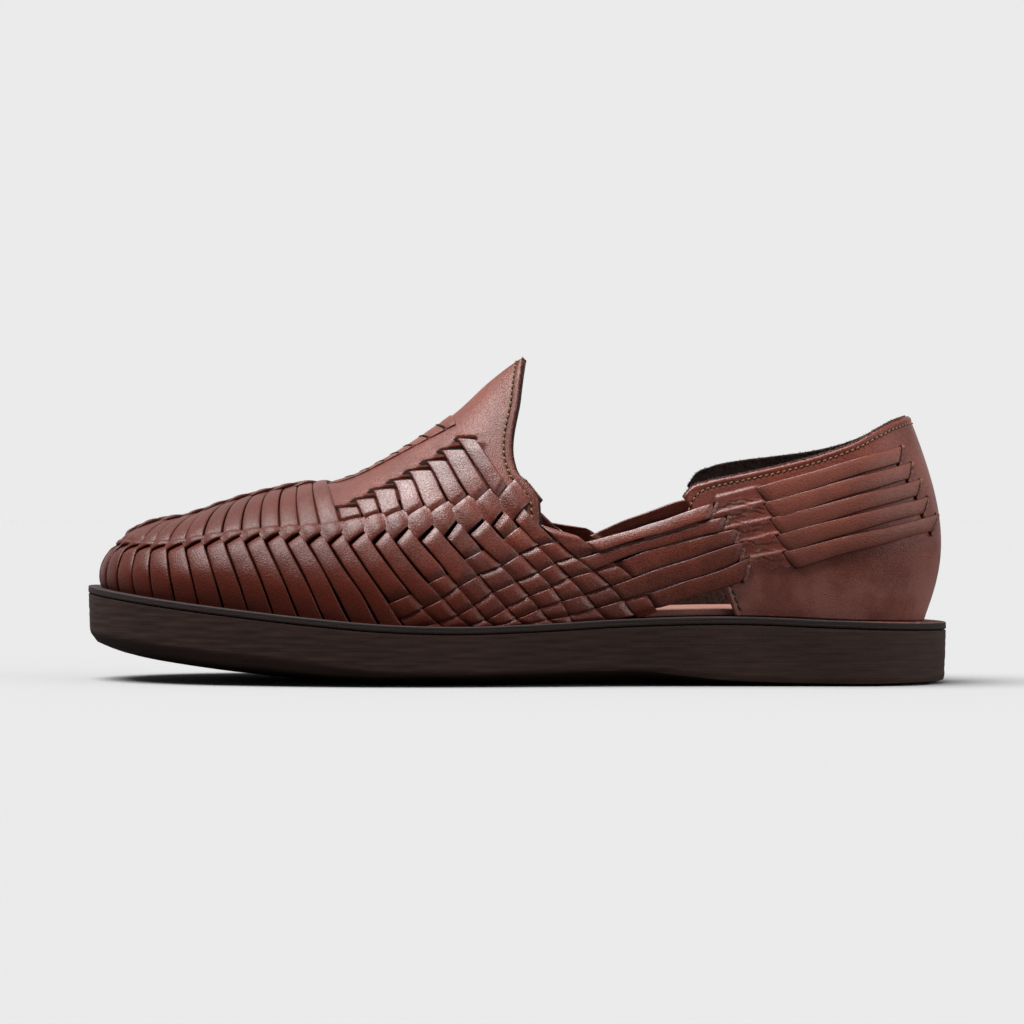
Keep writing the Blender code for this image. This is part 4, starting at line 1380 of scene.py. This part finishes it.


# Grids of one flank: the face is the skin with slits, stitch groove, dents and a pressed-down edge;
# painted shade under the straps and in the stitch groove, darker just inside the edge, and a pale
# cut edge that is paler toward the crest as a painted highlight.
def tongueSide(side):
    step = tongue["edgeStep"]
    column = np.linspace(0, 1, tongue["columns"])[:, None]
    share = np.linspace(0, 1, tongue["rows"])[None]
    u, rise = tonguePlace(side, column, share, step)
    flat, fromHeel = skin(u, rise), fromHeelAt(u)
    groove, away = stitchGroove(flat, evenly(tongueStitchPath(side), count=180))
    relief, shade = slitRelief(flat, side)
    for s, r, long, high, depth in tongueDents:
        relief -= depth * bell(fromHeel - s, long) * bell(rise - r, high)
    toEdge = fromHeel - through(tongueEdge, sideNames[side], share) - step
    # painted shade under the straps and in the stitch groove, darker inside the edge; pale edge
    # with a painted highlight toward the crest
    dark = 1.2 * shade + .7 * bell(away, .8) + .5 * bell(toEdge - 1, .7)
    pale = bell(toEdge, .45) * mixed(.10, .50, smooth((share - .65) / .15))
    flank = tonguePlace(side, column, share)
    return (skin(u, rise, relief + groove - .30 * bell(toEdge, .5)),
            skin(u, rise, -tongue["leather"]), skin(*flank, -tongue["leather"] - .05),
            skin(*flank, -tongue["thickness"]), np.clip(dark, 0, 1), pale)


leatherWall, liningWall, marks = doubleWall(
    [tongueSide(side) for side in sideNames],
    lambda outer, inner: np.concatenate([outer, inner[:, -2::-1]], 1), backPale=1)
makePiece("tongue_leather_sheet", [leatherWall], tongueLeather, ["tongue"], marks)
makePiece("tongue_lining", [liningWall], brownLining)
# painted shade in the slits the cross straps leave the tongue by
mouths = [slitShades(*slitEnds(side), 2.5, out=-.42) for side in sideNames]
makePiece("tongue_slit_shade", mouths, paintedShade)
sewn("tongue", [tongueStitchPath(side) for side in sideNames], tongue["pitch"], .32, .28)

edgeFibres = []
for side in sideNames:
    share = np.linspace(.05, .995, 160)
    edge, normal = drape(skin(*tonguePlace(side, 1.0 + 0 * share, share, tongue["edgeStep"])))
    away = facing(aside(edge, normal), (1, 0, 0))
    edgeFibres.append(fibres(edge, away, normal, 1.1, 900, length=.9, girth=.12))
makePiece("tongue_edge_fibres", edgeFibres, paleFibre)

# The strap threaded along the crest: its slits, by the distance from the heel; half its width at
# the rear and at the front; how far the slits hang back at the strap's edges.
ridge = {
    "slits": (168.2, 173.4, 179.3, 184.7, 189.4, 194.7, 200.0, 205.3, 212.0),
    "halfWidth": (11.2, 8.6), "narrowFrom": 165.0, "narrowRun": 45.0,
    "slant": 4.6, "curve": 1.25, "thickness": .55,
}


# u and rise at a distance to either side of the crest, by the rib's own curve.
def crestPlace(fromHeel, away):
    foot, footY = footLine(uAt(fromHeel), footMargins)
    top, topY, _ = spine(foot)
    _, crown = ribShape(top)
    reach = np.clip(np.abs(away) / (footY - topY), 0, .999)
    rise = 90 + np.sign(away) * (90 - np.degrees(np.arccos(reach ** (0.5 / crown))))
    return -uAt(fromHeel), rise


# Half the crest strap's width, from the rear one to the front one.
def ridgeHalf(fromHeel):
    narrow = smooth((fromHeel - ridge["narrowFrom"]) / ridge["narrowRun"])
    return mixed(*ridge["halfWidth"], narrow)


# Floats between the slits: each dips toward the next slit, and both edges hang back.
def ridgeShape():
    slits = np.array(ridge["slits"])
    v, w = np.linspace(0, 1, 14)[:, None], np.linspace(0, 1, 25)[None]
    w = mixed(w, (1 - np.cos(np.pi * w)) / 2, .6)
    shapes = []
    for k in range(len(slits) - 1):
        length = slits[k + 1] - slits[k] - .2
        fromHeel = slits[k] + .1 + length * v + 0 * w
        half = .93 * ridgeHalf(fromHeel)
        hang = ridge["slant"] * (mixed(.6, 1.0, v) if k == 0 else 1.0)
        back = hang * np.abs(2 * w - 1) ** ridge["curve"]
        u, rise = crestPlace(fromHeel - back, (2 * w - 1) * half)
        toEdge = 2 * half * np.minimum(w, 1 - w)
        toEnd = length * np.minimum(v, 1 - v)
        shape = mixed(.45, 1.0, smooth(toEdge / .5)) * mixed(.6, 1.0, smooth((toEnd + .05) / .35))
        high = .02 + ridge["thickness"] * shape - .22 * (1 - smooth(length * (1 - v) / 2.4))
        shapes.append(closedWall(skin(u, rise, high), skin(u, rise, -.05)))
    return shapes


makePiece("ridge_plait", ridgeShape(), tongueLeather, ["ridge_strap"])


# Painted shade in the slits on each flank.
def ridgeSlitShades():
    slits = np.array(ridge["slits"])[1:-1]
    shapes = []
    for side in sideNames:
        ends = []
        for share in (.06, .90):
            back = ridge["slant"] * share ** ridge["curve"]
            u, rise = crestPlace(slits - back, -share * ridgeHalf(slits))
            ends.append(skin(side * np.abs(u), rise))
        shapes.append(slitShades(ends[0], ends[1], .25, out=.60))
    return shapes


# painted shade in the ridge strap's slits
makePiece("ridge_slit_shade", ridgeSlitShades(), paintedShade)
print("tongue ready")


counter = {
    "columns": (70, 44, 16), "rows": 131, "leather": 1.15, "thickness": 2.0,
    "band": .60,                # how far the band bridging the hidden straps stands out
    "bandFrom": .27, "bandTo": .87, "stitchDown": 2.5, "pitch": 2.0,
    # the stitch row turns down at the front corner: places from the heel, extra depths
    "corner": (86.4, 85.2, 83.4, 80.6), "cornerDown": (5.2, 2.6, .9, .1),
}
counterLines = {
    "share": (0.00, 0.29, 0.35, 0.46, 0.57, 0.69, 0.83, 1.00),
    "rearSlits": (44.0, 50.7, 52.1, 54.6, 57.1, 59.9, 63.1, 67.0),
    "frontSlits": (63.0, 66.4, 67.2, 68.9, 70.4, 73.6, 78.2, 82.5),
    "frontEdge": (71.0, 76.0, 77.1, 79.0, 80.9, 83.0, 85.4, 88.4),
}
# Creases on the band: share of the height at its front and rear, depth in mm, and where it starts
# and ends between the rear slits (0) and the front ones (1).
bandCreases = ((.345, .305, .16, .0, .7), (.400, .365, .24, .2, 1.), (.455, .415, .16, .0, .8),
               (.520, .470, .26, .1, 1.), (.560, .545, .14, .0, .5), (.600, .560, .22, .3, 1.),
               (.655, .600, .16, .0, .9), (.690, .665, .22, .4, 1.), (.725, .700, .26, .1, .9),
               (.765, .715, .20, .0, .7), (.790, .765, .24, .3, 1.), (.830, .780, .16, .1, .8))
# Upper edges of the hidden straps: distance from the heel and height, front then rear.
bandRidges = (
    (76.5, 62.6, 64.2, 65.7), (72.2, 58.3, 62.3, 60.8), (69.1, 53.4, 60.5, 55.2),
    (67.9, 47.9, 58.1, 50.3), (66.0, 42.4, 56.8, 44.2))
# Dents of wear by the heel: place from the heel, height, half lengths in mm, depth in mm.
counterDents = ((34, 44, 12, 7, .35), (20, 36, 9, 6, .25), (52, 34, 6, 9, .30))
# Rear runs of the long straps, from the top one down; slants follow their cut ends.
heelStraps = {
    "start": (61.9, 59.8, 57.6, 55.6, 53.4), "startHeight": (62.9, 57.8, 52.6, 47.2, 41.7),
    "end": (15.7, 13.9, 12.5, 11.4, 9.6), "endHeight": (76.7, 71.3, 65.7, 60.0, 54.2),
    "width": 5.75, "arch": 1.6, "slant": .85, "endSlant": .34, "gap": .35,
}


# Height of the collar's edge over the floor.
def collarHeight(fromHeel, side):
    return through(collar, sideNames[side], fromHeel / last["length"])


# u, rise and the span coordinate (0-1 back, 1-2 band, 2-3 front) on a grid.
def counterSide(side):
    share = np.linspace(0, 1, counter["rows"])[:, None]
    share = mixed(share, np.sin(share * np.pi / 2), .25)
    lines = [last["heelLedge"] + 0 * share]
    lines += [through(counterLines, name, share) for name in counterLines if name != "share"]
    lines = np.concatenate(lines, 1)
    steps = [[0.0]] + [k + np.arange(1, n + 1) / n for k, n in enumerate(counter["columns"])]
    span = np.concatenate(steps)[None] + 0 * share
    index = np.clip(span.astype(int), 0, 2)
    row = np.arange(len(share))[:, None]
    fromHeel = mixed(lines[row, index], lines[row, index + 1], span - index)
    # even steps by foot line coordinate over the back, so that the round heel is smooth
    u = np.where(span <= 1, uAt(lines[:, 1:2]) * span, uAt(fromHeel))
    fromHeel = fromHeelAt(u)
    rise = riseAt(fromHeel, mixed(footHeight(fromHeel), collarHeight(fromHeel, side), share))
    return side * u, rise, span, share + 0 * u


# Height of the counter's face over the skin, and its dark and pale shares: the band as a
# raised window, hidden straps as steps, creases, collar and front edge as bells; the dark share is
# painted shade at the band's edges by the strap ends, a darker collar edge and a darker strip by
# the sole, the pale share a painted highlight on the creases' ridges.
def counterRelief(u, rise, span, share, side):
    fromHeel = fromHeelAt(u)
    height = heightAt(fromHeel, rise)
    tall = collarHeight(fromHeel, side) - footHeight(fromHeel)
    # the band's rear edge follows the slanting front tips of the rear straps
    heights = np.array(heelStraps["startHeight"])
    nearest = np.abs(height[..., None] - heights).argmin(-1)
    across = np.clip(height - heights[nearest], -2.65, 2.65)
    tip = np.array(heelStraps["start"])[nearest] - heelStraps["gap"] + heelStraps["slant"] * across
    # and its front edge the ends of the long straps
    edges = [sideRise(u, rises, side) for rises in longStrapEdges(np.clip(fromHeel, 66, 80))]
    end = np.full(rise.shape, longEnds["upper"][0])
    for k in range(5):
        within = np.clip((rise - edges[k + 1]) / (edges[k] - edges[k + 1]), 0, 1)
        tipHere = mixed(longEnds["lower"][k], longEnds["upper"][k], within)
        end = np.where(rise < edges[k], tipHere, end)
    inBand = smooth((fromHeel - tip + .1) / .7) * smooth((end - fromHeel) / .6)
    up = (smooth((share - counter["bandFrom"]) / .09)
          * smooth((counter["bandTo"] + .02 - share) / .10))
    relief = inBand * up * counter["band"]
    across = np.clip(span - 1, 0, 1)
    for front, frontZ, rear, rearZ in bandRidges:
        d = height - mixed(rearZ, frontZ, (fromHeel - rear) / (front - rear))
        relief += .55 * inBand * bell(d, np.where(d < 0, 2.2, .6))
    pale = 0 * relief
    for n, (front, rear, depth, starts, ends) in enumerate(bandCreases):
        waves = .010 * np.sin(across * 9 + n * 2.1) + .004 * np.sin(across * 23 + n)
        d = (share - mixed(rear, front, across) - waves) * tall
        strength = (inBand * up * smooth((across - starts + .1) / .25)
                    * smooth((ends + .1 - across) / .25))
        relief += depth * strength * (.6 * bell(d - .62, .34) - bell(d, .34))
        # painted highlight along each crease's ridge, broken along its run
        broken = .5 + .5 * np.sin(across * 17 + n * 1.7)
        pale = np.maximum(pale, strength * broken * bell(d - .5, .30))
    # rolled collar, rolled front edge below the straps, shallow dents of wear by the heel
    top = (1 - share) * tall
    relief += .22 * bell(top - 1.2, .8) - .45 * bell(top, .45)
    front = (3 - span) * 10
    relief += .55 * bell(front - 1.0, .8) * smooth((.34 - share) / .05) - .40 * bell(front, .5)
    for s, z, long, high, depth in counterDents:
        relief -= depth * bell(fromHeel - s, long) * bell(height - z, high)
    # darker at the collar's edge and in the lowest 4 mm above the sole
    dark = np.clip(bell(top, .5) + .8 * smooth((4 - height + footHeight(fromHeel)) / 4), 0, 1)
    # painted shade at the band's edges by the strap tips and the long straps' ends
    paintedEdgeShade = up * (bell(fromHeel - tip, .5) + bell(fromHeel - end, .5))
    return relief, np.clip(dark + .8 * paintedEdgeShade, 0, 1), pale * .45


# Down the front corner, then along the collar at an even distance below its edge.
def collarStitchPath(side):
    fromHeel = np.concatenate([counter["corner"], np.linspace(77, 10, 60)])
    height = collarHeight(fromHeel, side) - counter["stitchDown"]
    height[:4] -= counter["cornerDown"]
    u = uAt(fromHeel)
    path = skin(side * u, riseAt(fromHeel, height))
    middle = riseAt(np.array([last["heelLedge"]]), last["heelHeight"] - counter["stitchDown"])
    return evenly(np.concatenate([path, skin(np.array([0.0]), middle)]), count=160)


# Grids of one side of the counter and its lining, for doubleWall.
def counterWalls(side):
    u, rise, span, share = counterSide(side)
    relief, dark, pale = counterRelief(u, rise, span, share, side)
    groove, away = stitchGroove(skin(u, rise), collarStitchPath(side), .13, .6)
    past = rise * 1.010         # the lining stands a little past the cut edge
    # painted shade along the stitch groove
    return (skin(u, rise, relief + groove), skin(u, rise, -counter["leather"]),
            skin(u, past, -counter["leather"] - .05), skin(u, past, -counter["thickness"]),
            np.clip(dark + .5 * bell(away, .7), 0, 1), pale)


leatherWall, liningWall, marks = doubleWall(
    [counterWalls(side) for side in sideNames],
    lambda outer, inner: np.concatenate([outer[:, ::-1], inner[:, 1:]], 1), backPale=0, step=2)
makePiece("counter_leather_shell", [leatherWall], counterLeather, ["counter"],
          marks)
makePiece("counter_lining", [liningWall], blackLining)


# Rear straps: even from start to end in u, middle line arched by 4 v (1 - v).
def heelStrapPlace(side):
    start, startHeight, end, endHeight = (
        np.array(heelStraps[name]) for name in ("start", "startHeight", "end", "endHeight"))

    def placeOf(k, v, w):
        across = (w - .5) * heelStraps["width"]
        front = start[k] - heelStraps["gap"] + heelStraps["slant"] * across
        rear = end[k] - heelStraps["endSlant"] * across
        u = mixed(uAt(front), uAt(rear), v)
        middle = mixed(startHeight[k], endHeight[k], v) + heelStraps["arch"] * 4 * v * (1 - v)
        return side * u, riseAt(fromHeelAt(u), middle + across)
    return placeOf


edgeFibres, darkFibres = [], []
for side in sideNames:
    fromHeel = np.linspace(88, 10, 200)
    u, height = uAt(fromHeel), collarHeight(fromHeel, side)
    edge = skin(side * u, riseAt(fromHeel, height))
    up = unit(skin(side * u, riseAt(fromHeel, height + 1)) - edge)
    _, normal = drape(edge)
    edgeFibres.append(fibres(edge - up * .1, up, normal, 1.1, 800, length=.9, girth=.12))
    darkFibres.append(fibres(edge - normal * 1.2, up, normal, .8, 1500, length=1.2, girth=.11))
makePiece("collar_edge_fibres", edgeFibres, paleFibre)
makePiece("collar_lining_fibres", darkFibres, blackLining)

heelSlitShades, slitFibres = [], []
for side in sideNames:
    names = [f"heel_strap_{sideNames[side]}_{k}" for k in range(1, 6)]
    placeOf = heelStrapPlace(side)
    shape = strapSolids(placeOf, 5, steps=46, base=.12, tuck=.25, diveStart=.55, diveEnd=1.3,
                        reach=1.3, gap=.12, thickness=1.05)
    strapPiece(f"heel_straps_{sideNames[side]}", [shape], names)
    # painted shade in the slits that take the rear straps' ends and where the long straps end
    slits = [strapPoints(placeOf, 5, v, w) for v, w in ((.985, -.12), (1.006, 1.05))]
    heelSlitShades.append(slitShades(*slits, 1.5, out=.0))
    ends = [strapPoints(longStrapPlace(side), 5, 1, w) for w in (-.02, 1.03)]
    heelSlitShades.append(slitShades(*ends, 1.2, out=.45))
    for (low, high), count in ((slits, 110), (ends, 60)):
        for a, b in zip(low, high):
            path, normal = drape(mixed(a, b, np.linspace(0, 1, 12)[:, None]))
            away = facing(unit(np.cross(normal, b - a)), (1, 0, 0))
            lip = path + away * .45 + normal * .75
            slitFibres.append(fibres(lip, away, normal, .7, count, .9, .17))
            ragged = rng.random((1, 12))
            slitFibres.append(ribbonSolids((path + away * .85)[None], normal[None],
                                           1.0 + .6 * ragged, .4 * ragged - .20, thickness=.80,
                                           crown=.12, bare=.05)[:2])
makePiece("heel_slit_shade", heelSlitShades, paintedShade)
makePiece("heel_slit_fibres", slitFibres, frayed)
sewn("collar", [collarStitchPath(side) for side in sideNames], counter["pitch"], .25, .22)


# Parallel to the counter's front edge, below the straps.
def frontStitchPath(side):
    share = np.linspace(.03, .30, 20)
    fromHeel = through(counterLines, "frontEdge", share) - 2.4
    height = mixed(footHeight(fromHeel), collarHeight(fromHeel, side), share)
    return skin(side * uAt(fromHeel), riseAt(fromHeel, height), .25)


makePiece("counter_front_stitches", [stitchRow(frontStitchPath(side), 2.9, .8, .26, sink=-.1)
                                     for side in sideNames], darkThread)
print("counter ready")


low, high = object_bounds()
{"cad": [list(cadBox[0]), list(cadBox[1])], "visual": [list(low), list(high)]}
